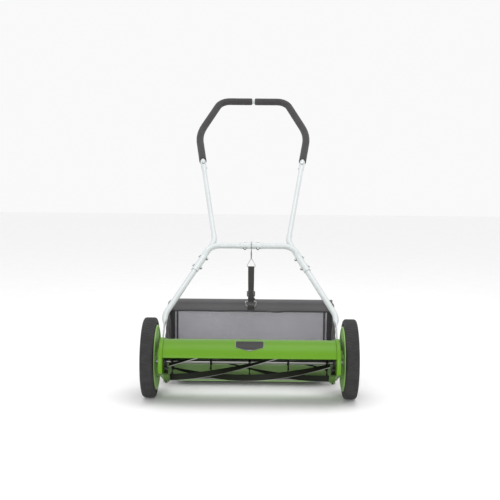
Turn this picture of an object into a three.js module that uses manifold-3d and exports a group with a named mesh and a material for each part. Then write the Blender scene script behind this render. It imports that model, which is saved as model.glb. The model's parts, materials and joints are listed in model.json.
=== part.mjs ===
// Push reel mower with a rear fabric catcher, in millimetres, +Z up, handle towards +Y.
// The machine is laid out from the wheel axle: Y = 0 at the axle, Z = 0 at the ground.
// At the end the whole machine is centred on X and Y.

import * as THREE from 'three';
import { mergeVertices } from 'three/addons/utils/BufferGeometryUtils.js';
import Module from 'manifold-3d';

const wasm = await Module();
wasm.setup();

// ---------- driving dimensions ----------
const CUT_WIDTH = 457;
const GAP = 0.3;

const AXLE_Z = 117;
const WHEEL_INNER_X = 275;
const WHEEL_OUTER_X = 312.5;
const TYRE_SEAT_R = 97.3;
const RIM_SEAT_R = 96.4;
const WHEEL_FACETS = 32;
const RIM_FACETS = 20;
const RIM_WALL_R = 84.4;
const RIM_INNER_X = 276;
const RIM_WEB_X = 296;
const RIM_WEB_THICK = 5;
const HUB_END = 303;
const AXLE_END = 305;

const REEL_Y = -62;
const REEL_Z = AXLE_Z;
const REEL_R = 55;
const REEL_TWIST = THREE.MathUtils.degToRad(146);
const BLADE_INNER_R = 37;
const BLADE_THICK = 3;
const BLADE_LEAN = THREE.MathUtils.degToRad(16);
const BLADE_START = THREE.MathUtils.degToRad(-106);
const BLADES = 5;
const SPIDERS = 5;
const SPIDER_PITCH = 111;
const SPIDER_THICK = 3.2;
const SHAFT_R = 6;
const SHAFT_END = 295;

const RING_TEETH = 40;
const PINION_TEETH = 9;
const GEAR_MODULE = 4;
const PINION_X = 282;
const PINION_WIDTH = 12;

const WEB_X = 246;
const WEB_THICK = 3;
const FLANGE_X = 257.5;
const FLANGE_THICK = 3;
const PLATE_SIDES = 8;
const COVER_R = 95;
const COVER_X = 272.9;
const COVER_THICK = 1.7;
const SLEEVE_R = 24;
const SLEEVE_BORE = 15;
const DRUM_R = 52;
const COVER_WALL = [THREE.MathUtils.degToRad(325), THREE.MathUtils.degToRad(155)];

const DECK_R = 65;
const DECK_THICK = 1.8;
const DECK_FRONT = THREE.MathUtils.degToRad(156.5);
const DECK_REAR = THREE.MathUtils.degToRad(30);
const BADGE_HALF = 41;

const PIVOT_Y = 35;
const PIVOT_Z = 150;
const HANDLE_LEAN = THREE.MathUtils.degToRad(43);
const LOWER_R = 9.2;
const UPPER_R = 8.2;
const TUBE_WALL = 1.5;
const GRIP_R = 13;
const FOOT_X = 261.5;
const TAB_THICK = 3.5;
const TAB_X = 259.6;
const TAB_HALF = 11;
const TAB_TOP = 72;
const LOWER_END = 454;
const LOOP_START = 780;
const GRIP_START = 811;
const GRIP_SPLIT = 5;

// corners of the handle's half outline: x, distance up the handle, bend radius
const TOP_CORNER = { x: 123.5, y: 1157, r: 49 };
const SHOULDER = { x: 199.4, y: 962, r: 180 };
const NECK = { x: 121.3, y: 424, r: 60 };
const FOOT = { x: FOOT_X, y: 115, r: 60 };

const BRACE_R = 9.5;
const BRACE_T = 396;
const BRACE_RISE = 8;
const BRACE_CORNER_X = 128;
const BRACE_END = 292;
const SADDLE_R = 12;
const BRACE_BOLTS = [310, 349];
const SPLICE_HALF = 37;
const SPLICE_BOLT_X = 21;
const SPLICE_R = 11;
const LOOP_BOLT = 796;
const BOLT_R = 3;

const ROLLER_Y = 235;
const ROLLER_R = 19;
const ROLLER_HALF = 232;
const CARRIER_PIVOT = { y: 60, z: 72 };
const CARRIER_ELBOW = { y: 130, z: 31 };
const CARRIER_X = 238;
const CARRIER_THICK = 4;
const ROD_Y = 112;
const ROD_Z = 92;
const ROD_R = 5;

const BAG_HALF = 270;
const BAG_WALL = 3;
const BAG_PROFILE = [[152, 48], [330, 44], [330, 240], [190, 75], [152, 61]];
const WIRE_R = 3;
const STRAP_WIDTH = 20;
const STRAP_TOP = 353;
const STRAP_BOTTOM = 249;

const HANDLE_FRONT = new THREE.Vector3(0, -Math.sin(HANDLE_LEAN), Math.cos(HANDLE_LEAN));
const HANDLE_UP = new THREE.Vector3(0, Math.cos(HANDLE_LEAN), Math.sin(HANDLE_LEAN));

// ---------- finishes: colour, roughness, metalness ----------
const FINISHES = {
  green: [0x6aa32e, 0.35, 0.1],
  white: [0xdadfe0, 0.35, 0.2],
  steel: [0x8d9194, 0.35, 0.9],
  blackSteel: [0x2a2b2b, 0.5, 0.4],
  zinc: [0xb9bcbd, 0.3, 0.9],
  black: [0x2c2b2c, 0.6, 0],
  foam: [0x4c4a4b, 0.9, 0],
  tyre: [0x454446, 0.85, 0],
  fabric: [0x58565a, 0.9, 0],
  webbing: [0x33322f, 0.9, 0],
};

// ---------- geometry tools ----------
function signedVolume(geometry) {
  const p = geometry.attributes.position;
  const index = geometry.index.array;
  const [a, b, c] = [new THREE.Vector3(), new THREE.Vector3(), new THREE.Vector3()];
  let volume = 0;
  for (let i = 0; i < index.length; i += 3) {
    a.fromBufferAttribute(p, index[i]);
    b.fromBufferAttribute(p, index[i + 1]);
    c.fromBufferAttribute(p, index[i + 2]);
    volume += a.dot(b.cross(c)) / 6;
  }
  return volume;
}

// Shares the vertices of a geometry, drops its flat triangles and turns its faces outwards.
function closed(source) {
  const bare = new THREE.BufferGeometry();
  bare.setAttribute('position', source.attributes.position.clone());
  if (source.index) {
    bare.setIndex(source.index.clone());
  }
  const geometry = mergeVertices(bare, 1e-3);
  const kept = [];
  const index = geometry.index.array;
  for (let i = 0; i < index.length; i += 3) {
    const [a, b, c] = [index[i], index[i + 1], index[i + 2]];
    if (a !== b && b !== c && c !== a) {
      kept.push(a, b, c);
    }
  }
  geometry.setIndex(kept);
  if (signedVolume(geometry) < 0) {
    geometry.setIndex(kept.reverse());
  }
  geometry.computeVertexNormals();
  return geometry;
}

function toSolid(source) {
  const geometry = closed(source);
  return new wasm.Manifold(new wasm.Mesh({
    numProp: 3,
    vertProperties: new Float32Array(geometry.attributes.position.array),
    triVerts: new Uint32Array(geometry.index.array),
  }));
}

function toGeometry(solid) {
  const mesh = solid.getMesh();
  const geometry = new THREE.BufferGeometry();
  geometry.setAttribute('position', new THREE.BufferAttribute(mesh.vertProperties, 3));
  geometry.setIndex(new THREE.BufferAttribute(mesh.triVerts, 1));
  return geometry;
}

function join(first, ...others) {
  let solid = toSolid(first);
  for (const other of others) {
    solid = solid.add(toSolid(other));
  }
  return toGeometry(solid);
}

function cut(first, ...tools) {
  let solid = toSolid(first);
  for (const tool of tools) {
    solid = solid.subtract(toSolid(tool));
  }
  return toGeometry(solid);
}

// An outline drawn in Y and Z, made into a slab between two X places; arcs get arcSides sides.
function slab(shape, x0, x1, arcSides = 12) {
  const geometry = new THREE.ExtrudeGeometry(shape, {
    depth: x1 - x0, bevelEnabled: false, curveSegments: arcSides / 2,
  });
  const toYZ = new THREE.Matrix4().set(0, 0, 1, x0, 1, 0, 0, 0, 0, 1, 0, 0, 0, 0, 0, 1);
  return geometry.applyMatrix4(toYZ);
}

function polygon(points) {
  return new THREE.Shape(points.map(([y, z]) => new THREE.Vector2(y, z)));
}

function disc(y, z, radius) {
  const shape = new THREE.Shape();
  shape.absarc(y, z, radius, 0, 2 * Math.PI);
  return shape;
}

// A round bar along X.
function barX(y, z, radius, x0, x1, sides = 16) {
  const geometry = new THREE.CylinderGeometry(radius, radius, Math.abs(x1 - x0), sides);
  return geometry.rotateZ(Math.PI / 2).translate((x0 + x1) / 2, y, z);
}

// A turned piece about an X axis, from [radius, x] points.
function turned(points, y, z, sides, facetDown = false) {
  const profile = points.map(([radius, x]) => new THREE.Vector2(radius, x));
  const start = facetDown ? Math.PI / sides : 0;
  const geometry = new THREE.LatheGeometry(profile, sides, start);
  const toX = new THREE.Matrix4().set(0, 1, 0, 0, 0, 0, 1, y, 1, 0, 0, z, 0, 0, 0, 1);
  return geometry.applyMatrix4(toX);
}

// A curve that steps from station to station, so that a straight run costs one step.
class StationCurve extends THREE.Curve {
  constructor(stations) {
    super();
    this.stations = stations;
  }

  getPointAt(u, target = new THREE.Vector3()) {
    const place = u * (this.stations.length - 1);
    const low = Math.min(Math.floor(place), this.stations.length - 2);
    return target.lerpVectors(this.stations[low], this.stations[low + 1], place - low);
  }

  getTangentAt(u, target = new THREE.Vector3()) {
    const last = this.stations.length - 1;
    const near = Math.round(u * last);
    const before = this.stations[Math.max(near - 1, 0)];
    const after = this.stations[Math.min(near + 1, last)];
    return target.subVectors(after, before).normalize();
  }
}

// Straight runs between corners, each inner corner rounded to its radius.
function bentPath(corners, arcStep = THREE.MathUtils.degToRad(18)) {
  const points = corners.map((c) => new THREE.Vector3(c.x, c.y, c.z ?? 0));
  const stations = [points[0]];
  for (let i = 1; i < points.length - 1; i += 1) {
    stations.push(...roundedCorner(points[i - 1], points[i], points[i + 1], corners[i].r, arcStep));
  }
  stations.push(points[points.length - 1]);
  return stations;
}

function roundedCorner(before, corner, after, radius, arcStep) {
  const inward = before.clone().sub(corner).normalize();
  const outward = after.clone().sub(corner).normalize();
  const turn = Math.PI - inward.angleTo(outward);
  const reach = radius * Math.tan(turn / 2);
  const bisector = inward.clone().add(outward).normalize();
  const centre = corner.clone().addScaledVector(bisector, radius / Math.cos(turn / 2));
  const start = corner.clone().addScaledVector(inward, reach).sub(centre);
  const axis = start.clone().cross(corner.clone().addScaledVector(outward, reach).sub(centre));
  axis.normalize();
  const steps = Math.max(2, Math.ceil(turn / arcStep));
  return Array.from({ length: steps + 1 }, (_, k) => (
    start.clone().applyAxisAngle(axis, (turn * k) / steps).add(centre)
  ));
}

// A round bar or tube along stations; a bore of 0 makes it solid.
function tube(stations, radius, bore = 0, sides = 8) {
  const section = disc(0, 0, radius);
  if (bore > 0) {
    section.holes.push(new THREE.Path().absarc(0, 0, bore, 0, 2 * Math.PI));
  }
  return new THREE.ExtrudeGeometry(section, {
    steps: stations.length - 1,
    extrudePath: new StationCurve(stations),
    bevelEnabled: false,
    curveSegments: sides / 2,
  });
}

function along(a, b, y) {
  return new THREE.Vector3(a.x + ((b.x - a.x) * (y - a.y)) / (b.y - a.y), y, 0);
}

// ---------- assembly ----------
const machine = new THREE.Group();
const handle = new THREE.Group();
handle.position.set(0, PIVOT_Y, PIVOT_Z);
handle.rotation.x = HANDLE_LEAN;
machine.add(handle);

function place(name, finish, geometry, group = machine) {
  const [color, roughness, metalness] = FINISHES[finish];
  const material = new THREE.MeshStandardMaterial({ color, roughness, metalness });
  const mesh = new THREE.Mesh(closed(geometry), material);
  mesh.name = name;
  group.add(mesh);
}

// Places a right-hand piece and its mirror image.
function placePair(name, finish, geometry, group = machine) {
  place(`${name}_right`, finish, geometry, group);
  place(`${name}_left`, finish, geometry.clone().scale(-1, 1, 1), group);
}

// ---------- side plates ----------
const SIDE_ROUNDS = [
  { y: REEL_Y, z: REEL_Z, r: 69 },
  { y: 62.5, z: 153, r: 10 },
  { y: ROD_Y - 4, z: ROD_Z - 4, r: 15 },
  { y: 0, z: 66, r: 14 },
];
const SIDE_FRONT = THREE.MathUtils.degToRad(198);

function tangentAngle(a, b) {
  const distance = Math.hypot(b.y - a.y, b.z - a.z);
  return Math.atan2(b.z - a.z, b.y - a.y) + Math.acos((a.r - b.r) / distance);
}

// The plate's outline: a belt round the rounds, cut straight below the reel.
function sideOutline(inset) {
  const rounds = SIDE_ROUNDS.map((round) => ({ ...round, r: round.r - inset }));
  const front = rounds[0];
  const nose = {
    y: front.y + front.r * Math.cos(SIDE_FRONT),
    z: front.z + front.r * Math.sin(SIDE_FRONT),
    r: 0,
  };
  const shape = new THREE.Shape();
  let start = SIDE_FRONT;
  rounds.forEach((round, i) => {
    const next = rounds[i + 1] ?? nose;
    const end = tangentAngle(round, next);
    shape.absarc(round.y, round.z, round.r, start, end, true);
    start = end;
  });
  return shape;
}

function sidePlate() {
  const outer = slab(sideOutline(0), WEB_X, FLANGE_X, PLATE_SIDES);
  const dish = slab(sideOutline(FLANGE_THICK), WEB_X + WEB_THICK, FLANGE_X + 1, PLATE_SIDES);
  const bearingHole = barX(REEL_Y, REEL_Z, 16, WEB_X - 1, FLANGE_X, 20);
  const stopLug = barX(62.5, 153, 5, WEB_X + 1, TAB_X + TAB_THICK, 12);
  const carrierPin = barX(CARRIER_PIVOT.y, CARRIER_PIVOT.z, 5, CARRIER_X - 2, WEB_X + 1, 12);
  return join(cut(outer, dish, bearingHole), stopLug, carrierPin);
}

// A domed disc that closes the wheel, on a sleeve and a short curved wall.
function gearCover() {
  const bore = SHAFT_R + 1.4;
  const backX = COVER_X + COVER_THICK;
  const face = turned([
    [bore, COVER_X], [COVER_R, COVER_X], [COVER_R, backX], [bore, backX], [bore, COVER_X],
  ], 0, AXLE_Z, 32);
  const sleeve = turned([
    [SLEEVE_BORE, FLANGE_X - 4], [SLEEVE_R, FLANGE_X - 4], [SLEEVE_R, COVER_X + 1],
    [SLEEVE_BORE, COVER_X + 1], [SLEEVE_BORE, FLANGE_X - 4],
  ], 0, AXLE_Z, 24);
  const wall = slab(arcBand(0, AXLE_Z, DRUM_R, 4, COVER_WALL), FLANGE_X + GAP, COVER_X + 1, 16);
  const shaftHole = barX(REEL_Y, REEL_Z, SHAFT_R + 2, COVER_X - 1, backX + 1);
  return cut(join(face, sleeve, wall), shaftHole);
}

function axle() {
  return turned([
    [0, WEB_X + WEB_THICK + GAP], [13, WEB_X + WEB_THICK + GAP], [13, COVER_X - 2],
    [SHAFT_R + 0.5, COVER_X - 2], [SHAFT_R + 0.5, AXLE_END], [0, AXLE_END],
  ], 0, AXLE_Z, 16);
}

function handleStud() {
  return turned([
    [0, WEB_X + WEB_THICK + GAP], [12, WEB_X + WEB_THICK + GAP], [12, TAB_X - GAP],
    [6, TAB_X - GAP], [6, TAB_X + TAB_THICK + 0.6], [0, TAB_X + TAB_THICK + 0.6],
  ], PIVOT_Y, PIVOT_Z, 16);
}

function reelBearing() {
  const inner = WEB_X - 6;
  const housing = turned([
    [SHAFT_R + 0.4, inner], [19, inner], [19, WEB_X - GAP], [15.6, WEB_X - GAP],
    [15.6, FLANGE_X - 2], [SHAFT_R + 0.4, FLANGE_X - 2], [SHAFT_R + 0.4, inner],
  ], REEL_Y, REEL_Z, 20);
  const arm = slab(polygon([[-72, 104], [-50, 66], [-34, 72], [-48, 108]]), inner, inner + 4);
  const screw = barX(-44, 74, 4.5, inner - 4, inner + 1, 6);
  const bore = barX(REEL_Y, REEL_Z, SHAFT_R + 0.4, inner - 1, FLANGE_X, 20);
  return cut(join(housing, arm, screw), bore);
}

function addChassis() {
  placePair('side_plate', 'green', sidePlate());
  placePair('gear_cover', 'green', gearCover());
  placePair('axle', 'steel', axle());
  placePair('handle_stud', 'zinc', handleStud());
  placePair('reel_bearing', 'black', reelBearing());
  place('deck_cover', 'green', deckCover());
  place('badge', 'black', badge());
  place('tie_tube', 'blackSteel', tieTube());
  place('cutter_bar', 'green', cutterBar());
  place('bed_knife', 'steel', bedKnife());
  place('catcher_rod', 'blackSteel', barX(ROD_Y, ROD_Z, ROD_R, GAP - WEB_X, WEB_X - GAP, 16));
}

// ---------- deck, cutter bar and tie tube ----------
function arcBand(y, z, outer, thick, [from, to]) {
  const shape = new THREE.Shape();
  shape.absarc(y, z, outer, from, to, true);
  shape.absarc(y, z, outer - thick, to, from, false);
  return shape;
}

function deckCover() {
  const half = WEB_X - GAP;
  const band = arcBand(REEL_Y, REEL_Z, DECK_R, DECK_THICK, [DECK_FRONT, DECK_REAR]);
  const skin = slab(band, -half, half, 18);
  const lipY = REEL_Y + (DECK_R - 1.5) * Math.cos(DECK_FRONT);
  const lipZ = REEL_Z + (DECK_R - 1.5) * Math.sin(DECK_FRONT);
  return join(skin, barX(lipY, lipZ, 2.6, -half, half, 10));
}

function badge() {
  const span = [THREE.MathUtils.degToRad(134), THREE.MathUtils.degToRad(105)];
  return slab(arcBand(REEL_Y, REEL_Z, DECK_R + 1.6, 1.3, span), -BADGE_HALF, BADGE_HALF, 8);
}

function tieTube() {
  const bar = barX(6, 112, 9, GAP - WEB_X, WEB_X - GAP, 16);
  return cut(bar, barX(6, 112, 7.5, -WEB_X, WEB_X, 16));
}

function cutterBar() {
  const section = [
    [-20, 52], [13, 52], [13, 92], [24, 95], [23.2, 98], [10, 94.4], [10, 55.5], [-20, 55.5],
  ];
  return slab(polygon(section), GAP - WEB_X, WEB_X - GAP);
}

function bedKnife() {
  const section = [[-43.5, 62.3], [-20, 56], [4, 56], [4, 59.2], [-19.5, 59.4], [-42.5, 65]];
  return slab(polygon(section), -CUT_WIDTH / 2 - 4, CUT_WIDTH / 2 + 4);
}

// ---------- wheels and drive gears ----------
function gearOutline(teeth, pitchR, inward, phase, y, z) {
  const addendum = 0.8 * GEAR_MODULE;
  const dedendum = 1.1 * GEAR_MODULE;
  const tipR = inward ? pitchR - addendum : pitchR + addendum;
  const rootR = inward ? pitchR + dedendum : pitchR - dedendum;
  const rootHalf = (0.85 * GEAR_MODULE) / pitchR;
  const points = [];
  for (let k = 0; k < teeth; k += 1) {
    const middle = phase + (2 * Math.PI * k) / teeth;
    const corners = [[rootR, -rootHalf], [tipR, 0], [rootR, rootHalf]];
    for (const [radius, offset] of corners) {
      const angle = middle + offset;
      points.push(new THREE.Vector2(y + radius * Math.cos(angle), z + radius * Math.sin(angle)));
    }
  }
  return points;
}

function rim() {
  const bore = SHAFT_R + 0.9;
  const [inner, outer] = [RIM_INNER_X, WHEEL_OUTER_X - 2.5];
  const web = RIM_WEB_X + RIM_WEB_THICK;
  const body = turned([
    [bore, inner], [16, inner], [16, RIM_WEB_X], [RIM_WALL_R, RIM_WEB_X], [RIM_WALL_R, inner],
    [RIM_SEAT_R, inner], [RIM_SEAT_R, outer], [RIM_SEAT_R - 6, outer],
    [RIM_SEAT_R - 9, web], [24, web], [16, HUB_END], [bore, HUB_END], [bore, inner],
  ], 0, AXLE_Z, RIM_FACETS);
  const ring = disc(0, AXLE_Z, RIM_WALL_R + 3);
  const pitchR = (RING_TEETH * GEAR_MODULE) / 2;
  ring.holes.push(new THREE.Path(gearOutline(RING_TEETH, pitchR, true, Math.PI, 0, AXLE_Z)));
  return join(body, slab(ring, PINION_X - 1, RIM_WEB_X + 1, RIM_FACETS));
}

function tyre() {
  const outerR = AXLE_Z / Math.cos(Math.PI / WHEEL_FACETS);
  const [inner, outer] = [WHEEL_INNER_X, WHEEL_OUTER_X];
  return turned([
    [TYRE_SEAT_R, inner + 4], [TYRE_SEAT_R + 6, inner], [outerR - 7, inner], [outerR, inner + 5],
    [outerR, outer - 5], [outerR - 7, outer], [TYRE_SEAT_R + 6, outer], [TYRE_SEAT_R, outer - 4],
    [TYRE_SEAT_R, inner + 4],
  ], 0, AXLE_Z, WHEEL_FACETS, true);
}

function hubCap() {
  return turned([
    [0, AXLE_END + 2], [17, AXLE_END + 2], [17, HUB_END + 0.4], [22, HUB_END + 0.4],
    [20, AXLE_END + 4], [12, WHEEL_OUTER_X - 1], [0, WHEEL_OUTER_X - 0.5],
  ], 0, AXLE_Z, 16);
}

function pinion() {
  const pitchR = (PINION_TEETH * GEAR_MODULE) / 2;
  const phase = Math.PI + Math.PI / PINION_TEETH;
  const outline = gearOutline(PINION_TEETH, pitchR, false, phase, REEL_Y, REEL_Z);
  const shape = new THREE.Shape(outline);
  shape.holes.push(new THREE.Path().absarc(REEL_Y, REEL_Z, SHAFT_R + GAP, 0, 2 * Math.PI));
  return slab(shape, PINION_X, PINION_X + PINION_WIDTH, 16);
}

function addWheels() {
  placePair('tyre', 'tyre', tyre());
  placePair('rim', 'black', rim());
  placePair('hub_cap', 'green', hubCap());
}

// ---------- reel ----------
function bladeAngle(x) {
  return BLADE_START - (REEL_TWIST * x) / CUT_WIDTH;
}

// A flat strip turned about the reel's axis as it runs along X.
function blade(number) {
  const normal = new THREE.Vector2(-Math.sin(BLADE_LEAN), Math.cos(BLADE_LEAN));
  const edge = new THREE.Vector2(REEL_R - 0.4, 0);
  const width = (REEL_R - BLADE_INNER_R) / Math.cos(BLADE_LEAN);
  const root = edge.clone().add(
    new THREE.Vector2(-Math.cos(BLADE_LEAN), -Math.sin(BLADE_LEAN)).multiplyScalar(width),
  );
  const back = normal.clone().multiplyScalar(BLADE_THICK);
  const strip = new THREE.Shape([edge, edge.clone().add(back), root.clone().add(back), root]);
  const geometry = new THREE.ExtrudeGeometry(strip, {
    depth: CUT_WIDTH, steps: 20, bevelEnabled: false,
  });
  const p = geometry.attributes.position;
  for (let i = 0; i < p.count; i += 1) {
    const x = p.getZ(i) - CUT_WIDTH / 2;
    const angle = bladeAngle(x) + (2 * Math.PI * number) / BLADES;
    const y = p.getX(i) * Math.cos(angle) - p.getY(i) * Math.sin(angle);
    const z = p.getX(i) * Math.sin(angle) + p.getY(i) * Math.cos(angle);
    p.setXYZ(i, x, y + REEL_Y, z + REEL_Z);
  }
  return geometry;
}

// A thin five-armed star that carries the blades, with a round hole for the shaft.
function spider(x) {
  const points = [];
  const armEnd = BLADE_INNER_R - 3;
  for (let k = 0; k < BLADES; k += 1) {
    const middle = bladeAngle(x) - BLADE_LEAN + (2 * Math.PI * k) / BLADES;
    const valley = middle + Math.PI / BLADES;
    for (const [radius, angle] of [
      [armEnd, middle - 0.13], [armEnd, middle + 0.13], [14, valley],
    ]) {
      points.push([REEL_Y + radius * Math.cos(angle), REEL_Z + radius * Math.sin(angle)]);
    }
  }
  const shape = polygon(points);
  shape.holes.push(new THREE.Path().absarc(REEL_Y, REEL_Z, SHAFT_R + GAP, 0, 2 * Math.PI));
  return slab(shape, x - SPIDER_THICK / 2, x + SPIDER_THICK / 2, 16);
}

function addReel() {
  place('reel_shaft', 'steel', barX(REEL_Y, REEL_Z, SHAFT_R, -SHAFT_END, SHAFT_END, 16));
  for (let k = 0; k < SPIDERS; k += 1) {
    place(`reel_spider_${k + 1}`, 'blackSteel', spider((k - (SPIDERS - 1) / 2) * SPIDER_PITCH));
  }
  for (let k = 0; k < BLADES; k += 1) {
    place(`reel_blade_${k + 1}`, 'steel', blade(k));
  }
  placePair('drive_pinion', 'black', pinion());
}

// ---------- rear roller and its height carrier ----------
function carrierBracket() {
  const pivot = { ...CARRIER_PIVOT, r: 13 };
  const elbow = { ...CARRIER_ELBOW, r: 9 };
  const end = { y: ROLLER_Y, z: ROLLER_R, r: 9 };
  const plates = [link(pivot, elbow), link(elbow, end)].map((shape) => (
    slab(shape, CARRIER_X, CARRIER_X + CARRIER_THICK)
  ));
  const pinHole = barX(pivot.y, pivot.z, 5.4, CARRIER_X - 1, CARRIER_X + 6, 12);
  const axleHole = barX(end.y, end.z, 5.4, CARRIER_X - 1, CARRIER_X + 6, 12);
  return cut(join(...plates), pinHole, axleHole);
}

// A flat link with a round end about each of two centres.
function link(a, b) {
  const shape = new THREE.Shape();
  const there = tangentAngle(a, b);
  const back = tangentAngle(b, a);
  shape.absarc(a.y, a.z, a.r, back, there, true);
  shape.absarc(b.y, b.z, b.r, there, back, true);
  return shape;
}

function rearRoller() {
  const outerR = ROLLER_R / Math.cos(Math.PI / 24);
  const half = ROLLER_HALF;
  return turned([
    [5.5, -half], [outerR - 2, -half], [outerR, -half + 3], [outerR, half - 3],
    [outerR - 2, half], [5.5, half], [5.5, -half],
  ], ROLLER_Y, ROLLER_R, 24, true);
}

function addRoller() {
  placePair('roller_bracket', 'blackSteel', carrierBracket());
  place('roller_axle', 'zinc', barX(ROLLER_Y, ROLLER_R, 5, -243.5, 243.5, 12));
  place('rear_roller', 'black', rearRoller());
}

// ---------- handle, in its own plane: x, y up the handle, z towards the front ----------
function boltThrough(reach, axis) {
  const shank = barX(0, 0, BOLT_R, -reach - 4, reach + 4, 10);
  const head = barX(0, 0, 5.2, reach, reach + 4, 6);
  const nut = barX(0, 0, 5.2, -reach - 5, -reach, 6);
  const bolt = join(shank, head, nut);
  const turn = new THREE.Quaternion().setFromUnitVectors(new THREE.Vector3(1, 0, 0), axis);
  return bolt.applyQuaternion(turn);
}

function boltHole(reach, axis) {
  const hole = barX(0, 0, BOLT_R + GAP, -reach, reach, 10);
  const turn = new THREE.Quaternion().setFromUnitVectors(new THREE.Vector3(1, 0, 0), axis);
  return hole.applyQuaternion(turn);
}

const LEG_AXIS = new THREE.Vector3(NECK.x - FOOT.x, NECK.y - FOOT.y, 0).normalize();
const LEG_SIDE = new THREE.Vector3(LEG_AXIS.y, -LEG_AXIS.x, 0);
const FRONT_AXIS = new THREE.Vector3(0, 0, 1);

function lowerPath() {
  return bentPath([{ x: FOOT_X, y: TAB_TOP }, FOOT, NECK, along(NECK, SHOULDER, LOWER_END)]);
}

function braceHoles() {
  return BRACE_BOLTS.map((y) => {
    const centre = along(NECK, FOOT, y);
    return boltHole(SADDLE_R + 6, LEG_SIDE).translate(centre.x, centre.y, 0);
  });
}

// Room beside the saddle for the bolts' nuts and heads.
function nutRooms() {
  return BRACE_BOLTS.flatMap((y) => {
    const centre = along(NECK, FOOT, y);
    return [-1, 1].map((side) => (
      barX(0, 0, 5.8, side * SADDLE_R, side * (SADDLE_R + 12), 6)
        .rotateZ(Math.atan2(LEG_SIDE.y, LEG_SIDE.x))
        .translate(centre.x, centre.y, 0)
    ));
  });
}

function lowerTube() {
  const pipe = tube(lowerPath(), LOWER_R, LOWER_R - TUBE_WALL);
  const tabShape = new THREE.Shape();
  tabShape.absarc(0, 0, TAB_HALF, Math.PI / 2, 1.5 * Math.PI);
  tabShape.lineTo(TAB_TOP - 10, -TAB_HALF);
  tabShape.lineTo(TAB_TOP + 8, -LOWER_R + 3);
  tabShape.lineTo(TAB_TOP + 8, LOWER_R - 3);
  tabShape.lineTo(TAB_TOP - 10, TAB_HALF);
  tabShape.holes.push(new THREE.Path().absarc(0, 0, 6.4, 0, 2 * Math.PI));
  const tab = slab(tabShape, TAB_X, TAB_X + TAB_THICK);
  return cut(join(pipe, tab), ...braceHoles());
}

function braceTube() {
  const corner = { x: BRACE_CORNER_X, y: BRACE_T, z: BRACE_RISE, r: 26 };
  const leg = corner.y - BRACE_END - 20;
  const foot = {
    x: corner.x - (LEG_AXIS.x / LEG_AXIS.y) * leg,
    y: corner.y - leg,
    z: BRACE_RISE,
  };
  const stations = bentPath([{ x: 4, y: BRACE_T, z: BRACE_RISE }, corner, foot]);
  const saddleStart = along(NECK, FOOT, BRACE_END);
  const saddleEnd = along(NECK, FOOT, BRACE_T - 22);
  const outer = join(tube(stations, BRACE_R), tube([saddleStart, saddleEnd], SADDLE_R, 0, 16));
  const bore = tube(stations, BRACE_R - TUBE_WALL);
  const legRoom = tube(lowerPath(), LOWER_R + GAP + 0.2);
  const openBack = new THREE.BoxGeometry(400, 400, 20).translate(200, BRACE_END + 60, -14.5);
  const rooms = [...braceHoles(), ...nutRooms(), ...spliceHoles()];
  return cut(outer, bore, legRoom, openBack, ...rooms);
}

function spliceHoles() {
  const axis = new THREE.Vector3(0, 1, 0);
  return [-SPLICE_BOLT_X, SPLICE_BOLT_X].map((x) => (
    boltHole(20, axis).translate(x, BRACE_T, BRACE_RISE)
  ));
}

// A half shell over the two brace ends, with its two cross bolts.
function braceSplice() {
  const shell = tube(bentPath([
    { x: -SPLICE_HALF, y: BRACE_T, z: BRACE_RISE }, { x: SPLICE_HALF, y: BRACE_T, z: BRACE_RISE },
  ]), SPLICE_R, BRACE_R + GAP, 20);
  const lowerHalf = new THREE.BoxGeometry(200, 60, 30).translate(0, BRACE_T, BRACE_RISE - 18);
  const axis = new THREE.Vector3(0, 1, 0);
  const bolts = [-SPLICE_BOLT_X, SPLICE_BOLT_X].map((x) => (
    boltThrough(SPLICE_R - 0.2, axis).translate(x, BRACE_T, BRACE_RISE)
  ));
  return join(cut(shell, lowerHalf), ...bolts);
}

function mirroredCorners(half) {
  const left = half.map((corner) => ({ ...corner, x: -corner.x })).reverse();
  return [...left, ...half];
}

function loopTube() {
  const end = along(SHOULDER, NECK, LOOP_START);
  const stations = bentPath(mirroredCorners([TOP_CORNER, SHOULDER, end]));
  const holes = [-1, 1].map((side) => {
    const centre = along(SHOULDER, NECK, LOOP_BOLT);
    return boltHole(20, FRONT_AXIS).translate(side * centre.x, centre.y, 0);
  });
  return cut(tube(stations, UPPER_R, UPPER_R - TUBE_WALL), ...holes);
}

function grip() {
  const end = along(SHOULDER, NECK, GRIP_START);
  const start = { x: GRIP_SPLIT, y: TOP_CORNER.y };
  return tube(bentPath([start, TOP_CORNER, SHOULDER, end]), GRIP_R, UPPER_R + GAP);
}

function midTube() {
  const low = along(NECK, SHOULDER, LOWER_END + GAP);
  const high = along(NECK, SHOULDER, LOOP_START - GAP);
  return tube([low, high], UPPER_R, UPPER_R - TUBE_WALL);
}

function addHandle() {
  placePair('lower_tube', 'white', lowerTube(), handle);
  placePair('mid_tube', 'white', midTube(), handle);
  place('loop_tube', 'white', loopTube(), handle);
  placePair('grip', 'foam', grip(), handle);
  placePair('brace', 'white', braceTube(), handle);
  place('brace_splice', 'zinc', braceSplice(), handle);
  BRACE_BOLTS.forEach((y, i) => {
    const centre = along(NECK, FOOT, y);
    const bolt = boltThrough(SADDLE_R + 0.2, LEG_SIDE).translate(centre.x, centre.y, 0);
    placePair(`brace_bolt_${i + 1}`, 'zinc', bolt, handle);
  });
  const centre = along(SHOULDER, NECK, LOOP_BOLT);
  const bolt = boltThrough(UPPER_R + 0.3, FRONT_AXIS).translate(centre.x, centre.y, 0);
  placePair('loop_bolt', 'zinc', bolt, handle);
}

// ---------- strap that hangs from the brace ----------
function braceCentre() {
  return new THREE.Vector3(0, PIVOT_Y, PIVOT_Z)
    .addScaledVector(HANDLE_UP, BRACE_T)
    .addScaledVector(HANDLE_FRONT, BRACE_RISE);
}

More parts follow.
